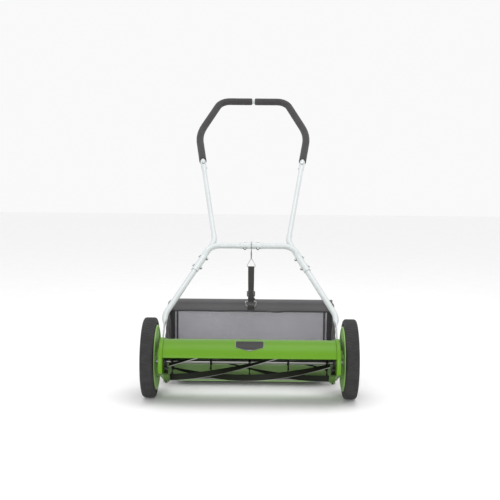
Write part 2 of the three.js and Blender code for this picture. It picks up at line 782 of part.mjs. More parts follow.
function hookWire(centre) {
  const radius = SPLICE_R + 0.6 + 1.5;
  const stations = [];
  for (let angle = -40; angle <= 200; angle += 20) {
    const turn = THREE.MathUtils.degToRad(angle);
    stations.push(new THREE.Vector3(
      0, centre.y + radius * Math.cos(turn), centre.z + radius * Math.sin(turn),
    ));
  }
  for (const [y, z] of [[-11, -13], [-5, -20], [0, -26], [0, -42]]) {
    stations.push(new THREE.Vector3(0, centre.y + y, centre.z + z));
  }
  return tube(stations, 1.5, 0, 8);
}

function ringPlate(outline, hole, centreY, thick) {
  const shape = new THREE.Shape(outline.map(([x, z]) => new THREE.Vector2(x, z)));
  shape.holes.push(new THREE.Path(hole.map(([x, z]) => new THREE.Vector2(x, z))));
  const geometry = new THREE.ExtrudeGeometry(shape, { depth: thick, bevelEnabled: false });
  return geometry.rotateX(Math.PI / 2).translate(0, centreY + thick / 2, 0);
}

function strapHook(centre) {
  const top = centre.z - 40;
  const bottom = STRAP_TOP + 1;
  const outline = [[-3, top], [-16, bottom + 6], [-16, bottom], [16, bottom], [16, bottom + 6], [3, top]];
  const hole = [
    [0, top - 6], [-12, bottom + 6], [-12, bottom + 3.4], [12, bottom + 3.4], [12, bottom + 6],
  ];
  return join(hookWire(centre), ringPlate(outline, hole, centre.y, 3));
}

function addStrap() {
  const centre = braceCentre();
  place('strap_hook', 'zinc', strapHook(centre));
  const strap = new THREE.BoxGeometry(STRAP_WIDTH, 4, STRAP_TOP - STRAP_BOTTOM);
  strap.translate(0, centre.y, (STRAP_TOP + STRAP_BOTTOM) / 2);
  place('strap', 'webbing', strap);
}

// ---------- catcher ----------
function bag() {
  const [lip, backLow, backTop, knee, lipTop] = BAG_PROFILE;
  const wall = BAG_WALL;
  const room = [
    [lip[0] - 10, lip[1] + wall + 1], [backLow[0] - wall, backLow[1] + wall],
    [backTop[0] - wall, backTop[1] + 10], [knee[0] - 40, backTop[1] + 10],
    [lipTop[0] - 10, lipTop[1] + 40],
  ];
  const outer = slab(polygon(BAG_PROFILE), -BAG_HALF, BAG_HALF);
  return cut(outer, slab(polygon(room), wall - BAG_HALF, BAG_HALF - wall));
}

function rodHook(x) {
  const claw = new THREE.Shape();
  const from = THREE.MathUtils.degToRad(200);
  const to = THREE.MathUtils.degToRad(-35);
  claw.absarc(ROD_Y, ROD_Z, ROD_R + 4.5, from, to, true);
  claw.absarc(ROD_Y, ROD_Z, ROD_R + 0.5, to, from, false);
  const arm = polygon([[117, 82.5], [147, 62], [153, 68], [121, 89]]);
  return join(slab(claw, x - 3, x + 3, 10), slab(arm, x - 3, x + 3));
}

function catcherFrame() {
  const rise = WIRE_R + 1;
  const half = BAG_HALF - 1.5;
  const [, , backTop, knee, lipTop] = BAG_PROFILE;
  const corners = [
    { x: half, y: lipTop[0] - 2, z: lipTop[1] + rise },
    { x: half, y: knee[0] - 3, z: knee[1] + rise, r: 20 },
    { x: half, y: backTop[0] - 1.5, z: backTop[1] + rise, r: 16 },
  ];
  const left = corners.map((corner) => ({ ...corner, x: -corner.x }));
  const hoop = tube(bentPath([...left, ...corners.reverse()]), WIRE_R, 0, 6);
  const rail = barX(lipTop[0] - 2, lipTop[1] + rise, WIRE_R, -half, half, 6);
  return join(hoop, rail, rodHook(-170), rodHook(170));
}

function dRing(centreY) {
  const outline = [];
  const hole = [];
  for (let k = 0; k <= 10; k += 1) {
    const angle = Math.PI + (Math.PI * k) / 10;
    outline.push([20 * Math.cos(angle), 240 + 20 * Math.sin(angle)]);
    hole.push([16.5 * Math.cos(angle), 240 + 16.5 * Math.sin(angle)]);
  }
  outline.push([20, 245], [-20, 245]);
  hole.push([16.5, 241.5], [-16.5, 241.5]);
  return ringPlate(outline, hole, centreY, 3.5);
}

function addCatcher() {
  place('catcher_bag', 'fabric', bag());
  place('catcher_frame', 'blackSteel', catcherFrame());
  place('d_ring', 'zinc', dRing(braceCentre().y + 2));
}

addChassis();
addWheels();
addReel();
addRoller();
addHandle();
addStrap();
addCatcher();

const bounds = new THREE.Box3().setFromObject(machine);
const middle = bounds.getCenter(new THREE.Vector3());
machine.position.set(-middle.x, -middle.y, -bounds.min.z);

export default machine;
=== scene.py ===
# Push reel mower with a rear fabric catcher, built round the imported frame.
# Metres, +Z up. Pieces are drawn with the wheel axle at Y = 0 and then moved to the frame.
import functools
import json
from math import acos, atan2, ceil, copysign, cos, degrees, dist, hypot, pi, radians, sin, sqrt, tan

import bmesh
import bpy
from mathutils import Matrix, Vector, noise


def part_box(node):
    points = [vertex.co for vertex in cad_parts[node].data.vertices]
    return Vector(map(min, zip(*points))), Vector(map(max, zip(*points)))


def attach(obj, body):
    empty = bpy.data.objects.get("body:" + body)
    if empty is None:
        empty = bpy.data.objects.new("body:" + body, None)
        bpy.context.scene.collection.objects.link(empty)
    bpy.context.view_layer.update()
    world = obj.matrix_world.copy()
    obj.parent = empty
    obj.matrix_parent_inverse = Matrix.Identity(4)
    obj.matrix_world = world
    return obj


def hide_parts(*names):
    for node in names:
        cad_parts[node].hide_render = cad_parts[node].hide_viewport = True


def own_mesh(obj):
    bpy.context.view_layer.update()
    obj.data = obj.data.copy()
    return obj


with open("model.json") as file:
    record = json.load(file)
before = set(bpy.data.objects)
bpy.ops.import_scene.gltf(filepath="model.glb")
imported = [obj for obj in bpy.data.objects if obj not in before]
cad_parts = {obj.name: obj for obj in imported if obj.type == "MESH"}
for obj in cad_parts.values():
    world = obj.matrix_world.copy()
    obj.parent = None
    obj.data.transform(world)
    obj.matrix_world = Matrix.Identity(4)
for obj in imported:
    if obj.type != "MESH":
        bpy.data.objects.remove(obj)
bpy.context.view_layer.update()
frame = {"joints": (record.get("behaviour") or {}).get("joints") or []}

JOINTS = {joint["name"]: Vector(joint["pos_m"]) for joint in frame["joints"]}
AXLE = JOINTS["wheel_right_spin"]
TO_ROW = Matrix.Translation((0, AXLE.y, 0))


def from_axle(joint):
    """A joint's place with the axle at Y = 0."""
    return JOINTS[joint] - Vector((0, AXLE.y, 0))


# ---------- driving dimensions ----------
HUB = (0, AXLE.z)
REEL = from_axle("reel_spin")
PIVOT = from_axle("handle_fold")
STRAP = from_axle("strap_swing")
ROLLER = from_axle("roller_spin")
CARRIER = from_axle("height_adjust")
ROD = from_axle("catcher_tilt")
FOLD_STOP = (0.0625, 0.153)
TIE = (0.006, 0.112)

CUT_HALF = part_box("reel_blade_1")[1].x
WEB_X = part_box("side_plate_right")[0].x + 0.010
WEB_THICK = 0.003
SPAN = WEB_X - 0.0003
SEAT_X = WEB_X + WEB_THICK + 0.0003
FLANGE_X = 0.2575
TYRE_IN, TYRE_OUT = [corner.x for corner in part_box("tyre_right")]
TYRE_R = AXLE.z
RIM_R = 0.0966
RIM_IN = 0.276
COVER_R = 0.095
COVER_X = 0.2729
COVER_BACK = 0.2746
GEAR_MODULE = 0.004
DECK_R = 0.065
DECK_THICK = 0.0018
DECK_FRONT = radians(156.5)
DECK_REAR = radians(30)
DIMPLE_X = 0.230
BADGE_HALF = 0.0405
BADGE_LOW, BADGE_MID, BADGE_TIP = 105.0, 130.5, 141.0
ADJUSTER = (WEB_X - 0.0088, -0.098)
BLADE_START = radians(-106)
BLADE_TWIST = radians(146)
BLADE_LEAN = radians(16)
BLADE_THICK = 0.003
BLADE_ROOT = 0.037
BLADES = 5
REEL_R = 0.055
SHAFT_R = 0.006
SPIDER_GAP = 0.111

LEAN = radians(43)
HANDLE = TO_ROW @ Matrix.Translation(PIVOT) @ Matrix.Rotation(LEAN, 4, "X")
LOWER_R = 0.0092
UPPER_R = 0.0082
GRIP_R = 0.013
BRACE_R = 0.0095
FOOT_HALF = 0.011
TOP = Vector((0.1235, 1.157, 0))
SHOULDER = Vector((0.1994, 0.962, 0))
NECK = Vector((0.1213, 0.424, 0))
FOOT = Vector((0.2615, 0.115, 0))
BRACE_UP = 0.396
BRACE_RISE = 0.008
LEG_BOLTS = (0.310, 0.349)

RING_TOP = STRAP.z - 0.040
RING_LOW = 0.3555
BAR_Z = 0.2432
RING_Y = STRAP.y + 0.0022

(_, BAG_FRONT, _), (BAG_HALF, BAG_BACK, BAG_TOP) = [
    corner - Vector((0, AXLE.y, 0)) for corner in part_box("catcher_bag")]
BAG_KNEE = (0.190, 0.075)
BAG_LIP = 0.061
BAG_FLOOR = 0.046
HOOP_RISE = 0.004
HOOP_HALF = BAG_HALF - 0.0015
HOOP_BACK = BAG_BACK - 0.0015
HOOP_TOP = BAG_TOP + HOOP_RISE
MOUTH = (BAG_FRONT - 0.002, BAG_LIP + HOOP_RISE)
HEM_DROP = 0.034
PANEL_LEFT, PANEL_RIGHT = -0.250, 0.250
PANEL_LOW = 0.066


# ---------- camera, light and floor ----------
def linked(name, data):
    """A new object in the scene."""
    made = bpy.data.objects.new(name, data)
    bpy.context.scene.collection.objects.link(made)
    return made


def add_camera():
    """A camera a little right of the middle, turned slightly left and tilted down."""
    camera = linked("camera", bpy.data.cameras.new("camera"))
    camera.data.lens = 66.67
    stand = Matrix.Translation((0.0178, AXLE.y - 2.7, 0.642))
    left = Matrix.Rotation(radians(0.423), 4, "Z")
    down = Matrix.Rotation(radians(90 - 4.35), 4, "X")
    camera.matrix_world = stand @ left @ down @ Matrix.Rotation(radians(0.5), 4, "Z")
    bpy.context.scene.camera = camera


def add_area(name, place, aim, size, watts):
    lamp = linked(name, bpy.data.lights.new(name, "AREA"))
    lamp.data.shape = "DISK"
    lamp.data.size = size
    lamp.data.energy = watts
    lamp.location = place
    lamp.rotation_euler = (Vector(aim) - Vector(place)).to_track_quat("-Z", "Y").to_euler()


def add_studio():
    world = bpy.data.worlds.new("studio")
    bpy.context.scene.world = world
    world.use_nodes = True
    back = world.node_tree.nodes["Background"]
    back.inputs["Color"].default_value = (1, 1, 1, 1)
    back.inputs["Strength"].default_value = 0.95
    add_area("overhead", (0.3, -0.4, 3.2), (0, -0.1, 0.3), 2.2, 26)
    add_area("front", (-0.5, -3.3, 0.7), (0, -0.4, 0.15), 1.8, 30)
    bm = bmesh.new()
    bmesh.ops.create_grid(bm, x_segments=8, y_segments=8, size=14)
    mesh = bpy.data.meshes.new("floor")
    bm.to_mesh(mesh)
    bm.free()
    floor = linked("floor", mesh)
    floor.location.z = -0.0005
    mesh.materials.append(finish("floor_white", (0.95, 0.95, 0.95), 0.9, spread=0.01))
    bpy.context.scene.view_settings.view_transform = "Standard"


# ---------- materials ----------
def plug(tree, socket, value):
    """Feeds an input from another node's output, or gives it a plain value."""
    if isinstance(value, bpy.types.NodeSocket):
        tree.links.new(value, socket)
    else:
        socket.default_value = value


def node(tree, kind, **inputs):
    made = tree.nodes.new(kind)
    for name, value in inputs.items():
        plug(tree, made.inputs[name.replace("_", " ").title()], value)
    return made


def object_coords(tree, stretch=(1, 1, 1)):
    coords = tree.nodes.new("ShaderNodeTexCoord").outputs["Object"]
    return node(tree, "ShaderNodeMapping", Vector=coords, Scale=stretch).outputs["Vector"]


def noise_of(tree, coords, scale, detail):
    made = node(tree, "ShaderNodeTexNoise", Vector=coords, Scale=scale, Detail=detail)
    return made.outputs["Fac"]


def drift(tree, factor, colour, spread):
    """A colour that goes a little darker and lighter as the factor does."""
    made = node(tree, "ShaderNodeValToRGB", Fac=factor)
    stops = zip(made.color_ramp.elements, (0.3, 0.7), (1 - spread, 1 + spread))
    for stop, position, share in stops:
        stop.position = position
        stop.color = (*[min(1.0, channel * share) for channel in colour], 1)
    return made.outputs["Color"]


def span(tree, factor, low, high):
    return node(tree, "ShaderNodeMapRange", Value=factor, To_Min=low, To_Max=high).outputs["Result"]


def bump(tree, height, distance, strength=1.0):
    made = node(tree, "ShaderNodeBump", Height=height, Distance=distance, Strength=strength)
    return made.outputs["Normal"]


def combine(tree, kind, a, b, family="ShaderNodeMath"):
    made = tree.nodes.new(family)
    made.operation = kind
    plug(tree, made.inputs[0], a)
    plug(tree, made.inputs[1], b)
    return made.outputs["Value"]


def edges(tree, coords):
    """A mask of the rounded-off edges, broken up by a fine noise."""
    soft = node(tree, "ShaderNodeBevel", Radius=0.0012)
    soft.samples = 3
    normal = tree.nodes.new("ShaderNodeNewGeometry").outputs["Normal"]
    dot = combine(tree, "DOT_PRODUCT", soft.outputs["Normal"], normal, "ShaderNodeVectorMath")
    edge = node(tree, "ShaderNodeMapRange", Value=dot, From_Min=0.985, From_Max=0.85)
    patchy = span(tree, noise_of(tree, coords, 60.0, 5.0), -0.6, 1.2)
    both = combine(tree, "MULTIPLY", edge.outputs["Result"], patchy)
    both.node.use_clamp = True
    return both


def shader_of(name):
    material = bpy.data.materials.new(name)
    material.use_nodes = True
    return material, material.node_tree, material.node_tree.nodes["Principled BSDF"]


def worn(tree, coords, base, wear):
    """The base colour with another one on the worn edges."""
    mix = tree.nodes.new("ShaderNodeMix")
    mix.data_type = "RGBA"
    plug(tree, mix.inputs["Factor"], edges(tree, coords))
    plug(tree, mix.inputs[6], base)
    plug(tree, mix.inputs[7], (*wear, 1))
    return mix.outputs[2]


def finish(name, colour, roughness, metallic=0.0, coat=0.0, spread=0.1, patch=9.0, grain=700.0,
           depth=0.00003, stretch=(1, 1, 1), sheen=0.0, specular=0.5, wear=None):
    """A procedural finish: broad colour drift, fine grain in bump and gloss, and worn edges."""
    material, tree, shader = shader_of(name)
    coords = object_coords(tree, stretch)
    fine = noise_of(tree, coords, grain, 2.0)
    base = drift(tree, noise_of(tree, coords, patch, 4.0), colour, spread)
    if wear:
        base = worn(tree, coords, base, wear)
    gloss = span(tree, fine, max(roughness - 0.07, 0.02), min(roughness + 0.07, 1.0))
    settings = {"Base Color": base, "Roughness": gloss, "Normal": bump(tree, fine, depth),
                "Metallic": metallic, "Coat Weight": coat, "Coat Roughness": 0.12,
                "Specular IOR Level": specular, "Sheen Weight": sheen}
    for socket, value in settings.items():
        plug(tree, shader.inputs[socket], value)
    return material


def threads(tree, coords, axis, pitch):
    made = node(tree, "ShaderNodeTexWave", Vector=coords, Scale=2 * pi / (20 * pitch))
    made.bands_direction = axis
    return made.outputs["Fac"]


def cloth(name, colour, pitch, open_share=0.0, spread=0.14, sheen=0.25):
    """Woven cloth: two crossed sets of threads, and real holes between them if it is a net."""
    material, tree, shader = shader_of(name)
    coords = object_coords(tree)
    weave = combine(tree, "MULTIPLY", threads(tree, coords, "X", pitch), threads(tree, coords, "Z", pitch))
    broad = noise_of(tree, coords, 7.0, 6.0)
    mottle = noise_of(tree, coords, 160.0, 3.0)
    shade = combine(tree, "ADD", combine(tree, "MULTIPLY", broad, 0.6),
                    combine(tree, "MULTIPLY", mottle, 0.4))
    height = combine(tree, "ADD", weave, combine(tree, "MULTIPLY", broad, 0.5))
    settings = {"Base Color": drift(tree, shade, colour, spread), "Roughness": 0.85,
                "Normal": bump(tree, height, pitch * 0.25, 0.5), "Sheen Weight": sheen}
    if open_share:
        settings["Alpha"] = combine(tree, "LESS_THAN", weave, 1 - open_share)
    for socket, value in settings.items():
        plug(tree, shader.inputs[socket], value)
    return material


GREEN = (0.1, 0.252, 0.008)


MATERIALS = {
    "green_paint": dict(colour=GREEN, roughness=0.36, coat=0.06, spread=0.05, patch=5.0,
                        grain=420.0, depth=0.00006, specular=0.22, wear=(0.2, 0.42, 0.07)),
    # A lighter copy of the green paint for the cutter bar: painted light where the floor and the front
    # lamp light it under the deck.
    "green_bar": dict(colour=(0.3, 0.52, 0.16), roughness=0.4, coat=0.2, spread=0.05, patch=5.0,
                      grain=420.0, depth=0.00006, wear=(0.3, 0.5, 0.15)),
    # A darker copy of the green plastic for the finned guard: painted shade below the deck's front lip.
    "green_shade": dict(colour=(0.08, 0.16, 0.03), roughness=0.5, spread=0.25, patch=60.0,
                        grain=900.0, depth=0.00004, specular=0.3),
    "green_plastic": dict(colour=(0.25, 0.47, 0.11), roughness=0.42, spread=0.05, grain=1500.0,
                          depth=0.00002, wear=(0.34, 0.52, 0.2)),
    "white_paint": dict(colour=(0.56, 0.59, 0.595), roughness=0.3, coat=0.35, spread=0.03,
                        grain=500.0, depth=0.00004),
    "black_paint": dict(colour=(0.009, 0.011, 0.006), roughness=0.5, spread=0.3, grain=500.0,
                        depth=0.00005, specular=0.12),
    "bare_steel": dict(colour=(0.24, 0.24, 0.23), roughness=0.38, metallic=1.0, spread=0.15,
                       patch=30.0, grain=300.0, stretch=(0.15, 4, 4)),
    "zinc": dict(colour=(0.42, 0.43, 0.43), roughness=0.3, metallic=1.0, spread=0.12,
                 patch=70.0, grain=900.0, depth=0.00002),
    "badge_face": dict(colour=(0.012, 0.0115, 0.0115), roughness=0.45, spread=0.1, grain=1600.0,
                       specular=0.4),
    "badge_border": dict(colour=(0.2, 0.21, 0.18), roughness=0.4, spread=0.08, grain=1500.0),
    "black_plastic": dict(colour=(0.03, 0.03, 0.031), roughness=0.5, spread=0.15, grain=1800.0,
                          depth=0.00004, wear=(0.07, 0.07, 0.07)),
    "foam": dict(colour=(0.052, 0.049, 0.051), roughness=0.93, spread=0.12, patch=40.0,
                 grain=1100.0, depth=0.00035, sheen=0.12, specular=0.3),
    "tyre": dict(colour=(0.024, 0.0235, 0.024), roughness=0.8, spread=0.25, patch=45.0,
                 grain=600.0, depth=0.00015, sheen=0.04, specular=0.35),
}
CLOTHS = {
    "bag_fabric": dict(colour=(0.052, 0.05, 0.053), pitch=0.0016),
    "bag_band": dict(colour=(0.125, 0.12, 0.127), pitch=0.0014, spread=0.08),
    "bag_mesh": dict(colour=(0.275, 0.265, 0.305), pitch=0.0022, open_share=0.34),
    "webbing": dict(colour=(0.036, 0.035, 0.033), pitch=0.0013, sheen=0.4),
}


@functools.cache
def material_of(name):
    if name in CLOTHS:
        return cloth(name, **CLOTHS[name])
    return finish(name, **MATERIALS[name])


# ---------- mesh tools ----------
def even(start, end, steps):
    """The values from start to end in even steps."""
    return [start + (end - start) * k / steps for k in range(steps + 1)]


def polar(centre, radius, angle):
    return centre[0] + radius * cos(angle), centre[1] + radius * sin(angle)


def turns(count):
    """The angles of count even steps round a circle."""
    return [2 * pi * k / count for k in range(count)]


def circle(radius, sides):
    return [polar((0, 0), radius, angle) for angle in turns(sides)]


def loft(bm, rings, loop=False, slots=None):
    """Skins closed rings of points; open ends are capped."""
    rows = [[bm.verts.new(point) for point in ring] for ring in rings]
    count = len(rows[0])
    for k in range(len(rows) if loop else len(rows) - 1):
        here, there = rows[k], rows[(k + 1) % len(rows)]
        for i in range(count):
            j = (i + 1) % count
            face = bm.faces.new((here[i], here[j], there[j], there[i]))
            if slots:
                face.material_index = slots[i]
    if not loop:
        bm.faces.new(rows[0][::-1])
        bm.faces.new(rows[-1])


def lathe(bm, profile, centre, steps, shape=None):
    """Turns a closed profile of (radius, x) points about an X axis through centre (y, z)."""
    rings = []
    for angle in turns(steps):
        points = [shape(angle, i, *point) if shape else point for i, point in enumerate(profile)]
        rings.append([(x, *polar(centre, radius, angle)) for radius, x in points])
    loft(bm, rings, loop=True)
    bmesh.ops.remove_doubles(bm, verts=bm.verts, dist=1e-6)


def both_ends(end):
    """A lathe profile from the half of it at +X, given from its inside out."""
    return [(radius, -x) for radius, x in end] + end[::-1]


def sweep(bm, path, section, up=(0, 0, 1), loop=False):
    """Carries section(k), a list of (side, up) offsets, along the path."""
    points = [Vector(point) for point in path]
    normal = Vector(up)
    rings = []
    for k, point in enumerate(points):
        before = points[k - 1] if k or loop else point
        after = points[(k + 1) % len(points)] if k < len(points) - 1 or loop else point
        tangent = (after - before).normalized()
        normal = (normal - tangent * normal.dot(tangent)).normalized()
        side = tangent.cross(normal)
        rings.append([point + side * a + normal * b for a, b in section(k)])
    loft(bm, rings, loop)


def tube(bm, path, radius, sides, up=(0, 0, 1), loop=False):
    ring = circle(radius, sides)
    sweep(bm, path, lambda k: ring, up, loop)


def bent(corners, step=radians(5)):
    """A path of straight runs with rounded corners, from (point, radius) pairs."""
    path = [Vector(corners[0][0])]
    for (before, _), (corner, radius), (after, _) in zip(corners, corners[1:], corners[2:]):
        corner = Vector(corner)
        inward = (Vector(before) - corner).normalized()
        outward = (Vector(after) - corner).normalized()
        turn = pi - inward.angle(outward)
        centre = corner + (inward + outward).normalized() * (radius / cos(turn / 2))
        start = corner + inward * radius * tan(turn / 2) - centre
        axis = start.cross(corner + outward * radius * tan(turn / 2) - centre).normalized()
        steps = max(2, ceil(turn / step))
        for k in range(steps + 1):
            path.append(Matrix.Rotation(turn * k / steps, 3, axis) @ start + centre)
    path.append(Vector(corners[-1][0]))
    return path


def spaced(path, step):
    """The path again, with stations no further apart than step."""
    points = [path[0]]
    for a, b in zip(path, path[1:]):
        pieces = max(1, ceil((b - a).length / step))
        points += [a.lerp(b, k / pieces) for k in range(1, pieces + 1)]
    return points


def lengths(path):
    """How far along the path each of its points lies."""
    along = [0.0]
    for a, b in zip(path, path[1:]):
        along.append(along[-1] + dist(a, b))
    return along


def prism(bm, outline, x0, x1):
    """A slab between two X places, from an outline of (y, z) points."""
    loft(bm, [[(x, y, z) for y, z in outline] for x in (x0, x1)])


def arc(y, z, radius, start, end, steps):
    return [polar((y, z), radius, angle) for angle in even(start, end, steps)]


def tangent_angle(a, b):
    """The angle at which a belt leaves circle a for circle b."""
    across, rise = b[0] - a[0], b[1] - a[1]
    return atan2(rise, across) + acos((a[2] - b[2]) / hypot(across, rise))


def belt(rounds, steps):
    """The outline of a belt laid clockwise round circles of (y, z, radius)."""
    outline = []
    for i, (y, z, radius) in enumerate(rounds):
        start = tangent_angle(rounds[i - 1], rounds[i])
        end = tangent_angle(rounds[i], rounds[(i + 1) % len(rounds)])
        while end > start:
            end -= 2 * pi
        outline += arc(y, z, radius, start, end, steps)
    return outline


def smooth(t):
    t = min(max(t, 0.0), 1.0)
    return t * t * (3 - 2 * t)


def post(bm, centre, stages, sides):
    """An upright turned piece about centre (x, y), from (radius, z) stages."""
    loft(bm, [[(centre[0] + a, centre[1] + b, z) for a, b in circle(radius, sides)]
              for radius, z in stages])


def bolt(bm, centre, axis, reach, radius, head):
    """A hex bolt with washers: its head at +reach along the axis and its nut at -reach."""
    start = len(bm.verts)
    tall = 1.35 * radius
    for sign in (1, -1):
        base = reach * sign
        seat = base + 0.0008 * sign
        post(bm, (0, 0), [(head * 1.15, base), (head * 1.15, seat)], 20)
        post(bm, (0, 0), [(head, seat), (head, base + tall * sign),
                          (head * 0.86, base + (tall + 0.0006) * sign)], 6)
    tip = -(reach + tall + 0.0022)
    post(bm, (0, 0), [(radius * 0.8, tip + 0.0005), (radius, tip + 0.001), (radius, reach)], 14)
    bm.verts.ensure_lookup_table()
    turn = Vector((0, 0, 1)).rotation_difference(Vector(axis)).to_matrix().to_4x4()
    bmesh.ops.transform(bm, matrix=Matrix.Translation(centre) @ turn, verts=bm.verts[start:])


def add_modifiers(obj, thick, bevel):
    if thick:
        shell = obj.modifiers.new("thickness", "SOLIDIFY")
        shell.thickness = thick
        shell.offset = 0
    if bevel:
        soft = obj.modifiers.new("soft_edges", "BEVEL")
        soft.width = bevel
        soft.segments = 3
        soft.angle_limit = radians(40)
        soft.harden_normals = True


def piece(name, build, material, body, nodes=(), side=1, place=TO_ROW, sharp=34.0, bevel=0.0,
          thick=0.0, slot=None):
    """Builds an object that rides on a body and stands for CAD nodes. side=-1 mirrors it."""
    names = [material] if isinstance(material, str) else material
    bm = bmesh.new()
    build(bm)
    if side < 0:
        bmesh.ops.scale(bm, vec=(-1, 1, 1), verts=bm.verts)
    bmesh.ops.recalc_face_normals(bm, faces=bm.faces)
    bmesh.ops.transform(bm, matrix=place, verts=bm.verts)
    mesh = bpy.data.meshes.new(name)
    bm.to_mesh(mesh)
    bm.free()
    mesh.shade_smooth()
    if not thick:
        mesh.set_sharp_from_angle(angle=radians(sharp))
    for one in names:
        mesh.materials.append(material_of(one))
    obj = linked(name, mesh)
    add_modifiers(obj, thick, bevel)
    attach(obj, body)
    if nodes:
        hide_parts(*nodes)
    return obj


def pair(name, build, material, body, nodes=(), **how):
    """Builds a right-hand piece and its mirror image. {side} in a name is right or left."""
    return [piece(f"{name}_{word}", build, material, body.format(side=word),
                  [item.format(side=word) for item in nodes], side=sign, **how)
            for word, sign in (("right", 1), ("left", -1))]


# ---------- wheels ----------
def tyre(bm):
    """A solid tyre with rounded shoulders, a moulded tread and two rings on each wall."""
    middle, half = (TYRE_IN + TYRE_OUT) / 2, (TYRE_OUT - TYRE_IN) / 2
    corner = 0.0075
    crown = [(TYRE_R, middle + half * share) for share in even(-0.58, 0.58, 8)]
    outer = [polar((TYRE_R - corner, TYRE_OUT - corner), corner, radians(a))
             for a in (12, 28, 45, 62, 80, 90)]
    outer += [(0.1045, TYRE_OUT - 0.0004), (0.1035, TYRE_OUT), (0.101, TYRE_OUT),
              (0.1, TYRE_OUT - 0.0008), (0.0975, TYRE_OUT - 0.003)]
    profile = crown + outer + [(radius, 2 * middle - x) for radius, x in outer[::-1]]
    tread = len(crown) + 2

    def carve(angle, i, radius, x):
        if tread <= i < len(profile) - 2:
            return radius, x
        lug = sin(angle * 72 + abs(x - middle) / half * 5.0)
        return radius - 0.0009 * smooth((lug - 0.25) / 0.35), x

    lathe(bm, profile, HUB, 576, carve)


def rim(bm):
    """A moulded wheel: a stepped barrel, a dished web with ten ribs, and the hub."""
    inner, outer, bore, web = RIM_IN, TYRE_OUT - 0.0012, 0.0069, 0.301
    profile = [
        (bore, inner), (0.016, inner), (0.0165, 0.294), (0.03, 0.296), (0.084, 0.296),
        (0.0846, inner + 0.001), (0.0852, inner), (0.0955, inner),
        (RIM_R, inner + 0.001), (RIM_R, outer - 0.001), (0.0955, outer), (0.0925, outer),
        (0.0915, outer - 0.001), (0.0895, outer - 0.004), (0.088, outer - 0.0085),
        (0.085, web + 0.0006), (0.08, web), (0.07, web), (0.06, web), (0.05, web), (0.04, web),
        (0.032, web + 0.0002), (0.027, 0.302), (0.0255, 0.3035), (0.0235, 0.3035),
        (bore, 0.3032),
    ]

    def ribbed(angle, i, radius, x):
        if 15 <= i <= 22:
            turn = (angle * 10 / (2 * pi)) % 1 - 0.5
            width = 0.0042 / radius * 10 / (2 * pi)
            rise = smooth((width * 1.5 - abs(turn)) / (width * 0.7))
            x += 0.0036 * rise * smooth((0.0865 - radius) / 0.004)
        return radius, x

    lathe(bm, profile, HUB, 240, ribbed)


def gear(bm, teeth, profile, flank, centre, steps, outward):
    """A gear with a smooth tooth form on the profile points numbered in flank."""
    def toothed(angle, i, radius, x):
        if i in flank:
            turn = (angle * teeth / (2 * pi) + (0.5 if outward > 0 else 0)) % 1
            tooth = smooth((0.33 - abs(turn - 0.5)) / 0.16) * 2 - 1
            radius = GEAR_MODULE * (teeth / 2 + outward * 0.85 * tooth)
        return radius, x

    lathe(bm, profile, centre, steps, toothed)


def ring_gear(bm):
    profile = [(0.08, 0.281), (0.0838, 0.281), (0.0838, 0.2955), (0.08, 0.2955)]
    gear(bm, 40, profile, (0, 3), HUB, 480, -1)


def pinion(bm):
    profile = [(0.0064, 0.282), (0.018, 0.282), (0.018, 0.294), (0.0064, 0.294)]
    gear(bm, 9, profile, (1, 2), REEL.yz, 180, 1)


def hub_cap(bm):
    """A domed cap with a stepped edge and shallow finger notches round its skirt."""
    top = TYRE_OUT - 0.0006
    profile = [(0, 0.307), (0.017, 0.307), (0.017, 0.3038), (0.0225, 0.3038), (0.0225, 0.3055),
               (0.021, 0.3062), (0.0205, 0.3095), (0.019, 0.3108), (0.0165, 0.3112),
               (0.0155, 0.3104), (0.0145, 0.3104), (0.0135, 0.3114), (0.009, top - 0.0003),
               (0.004, top), (0, top)]

    def notched(angle, i, radius, x):
        if 5 <= i <= 7:
            radius -= 0.0009 * smooth((sin(angle * 24) - 0.1) / 0.5)
        return radius, x

    lathe(bm, profile, HUB, 192, notched)


def add_wheels():
    pair("tyre_tread", tyre, "tyre", "wheel_{side}", ["tyre_{side}"])
    pair("wheel_rim", rim, "black_plastic", "wheel_{side}", ["rim_{side}"], sharp=28)
    pair("ring_gear", ring_gear, "black_plastic", "wheel_{side}")
    pair("hub_cover", hub_cap, "green_plastic", "wheel_{side}", ["hub_cap_{side}"])


# ---------- chassis ----------
SIDE_ROUNDS = [(*REEL.yz, 0.069), (*FOLD_STOP, 0.010), (ROD.y - 0.004, ROD.z - 0.004, 0.015),
               (0, 0.066, 0.014)]
SIDE_FRONT = radians(198)


def side_outline(inset):
    """The plate's edge, drawn in by inset: a belt round its four corners with a cut-off front."""
    rounds = [(y, z, radius - inset) for y, z, radius in SIDE_ROUNDS]
    nose = (*polar(rounds[0], rounds[0][2], SIDE_FRONT), 0)
    outline, start = [], SIDE_FRONT
    for here, there in zip(rounds, rounds[1:] + [nose]):
        end = tangent_angle(here, there)
        outline += arc(*here, start, end, 20)
        start = end
    return outline


def side_plate(bm):
    """A pressed plate: a flat web with a turned-out flange all round and a rounded lip."""
    thick, lip = WEB_THICK, 0.0011
    stages = [(0.004, WEB_X), (0.0012, WEB_X + 0.0008), (0, WEB_X + 0.0035),
              (0, FLANGE_X - lip), (0.0004, FLANGE_X - 0.0003), (0.0015, FLANGE_X),
              (0.0026, FLANGE_X - 0.0003), (thick, FLANGE_X - lip), (thick, WEB_X + 0.0065),
              (0.0045, WEB_X + thick + 0.0006), (0.0075, WEB_X + thick)]
    loft(bm, [[(x, y, z) for y, z in side_outline(inset)] for inset, x in stages])


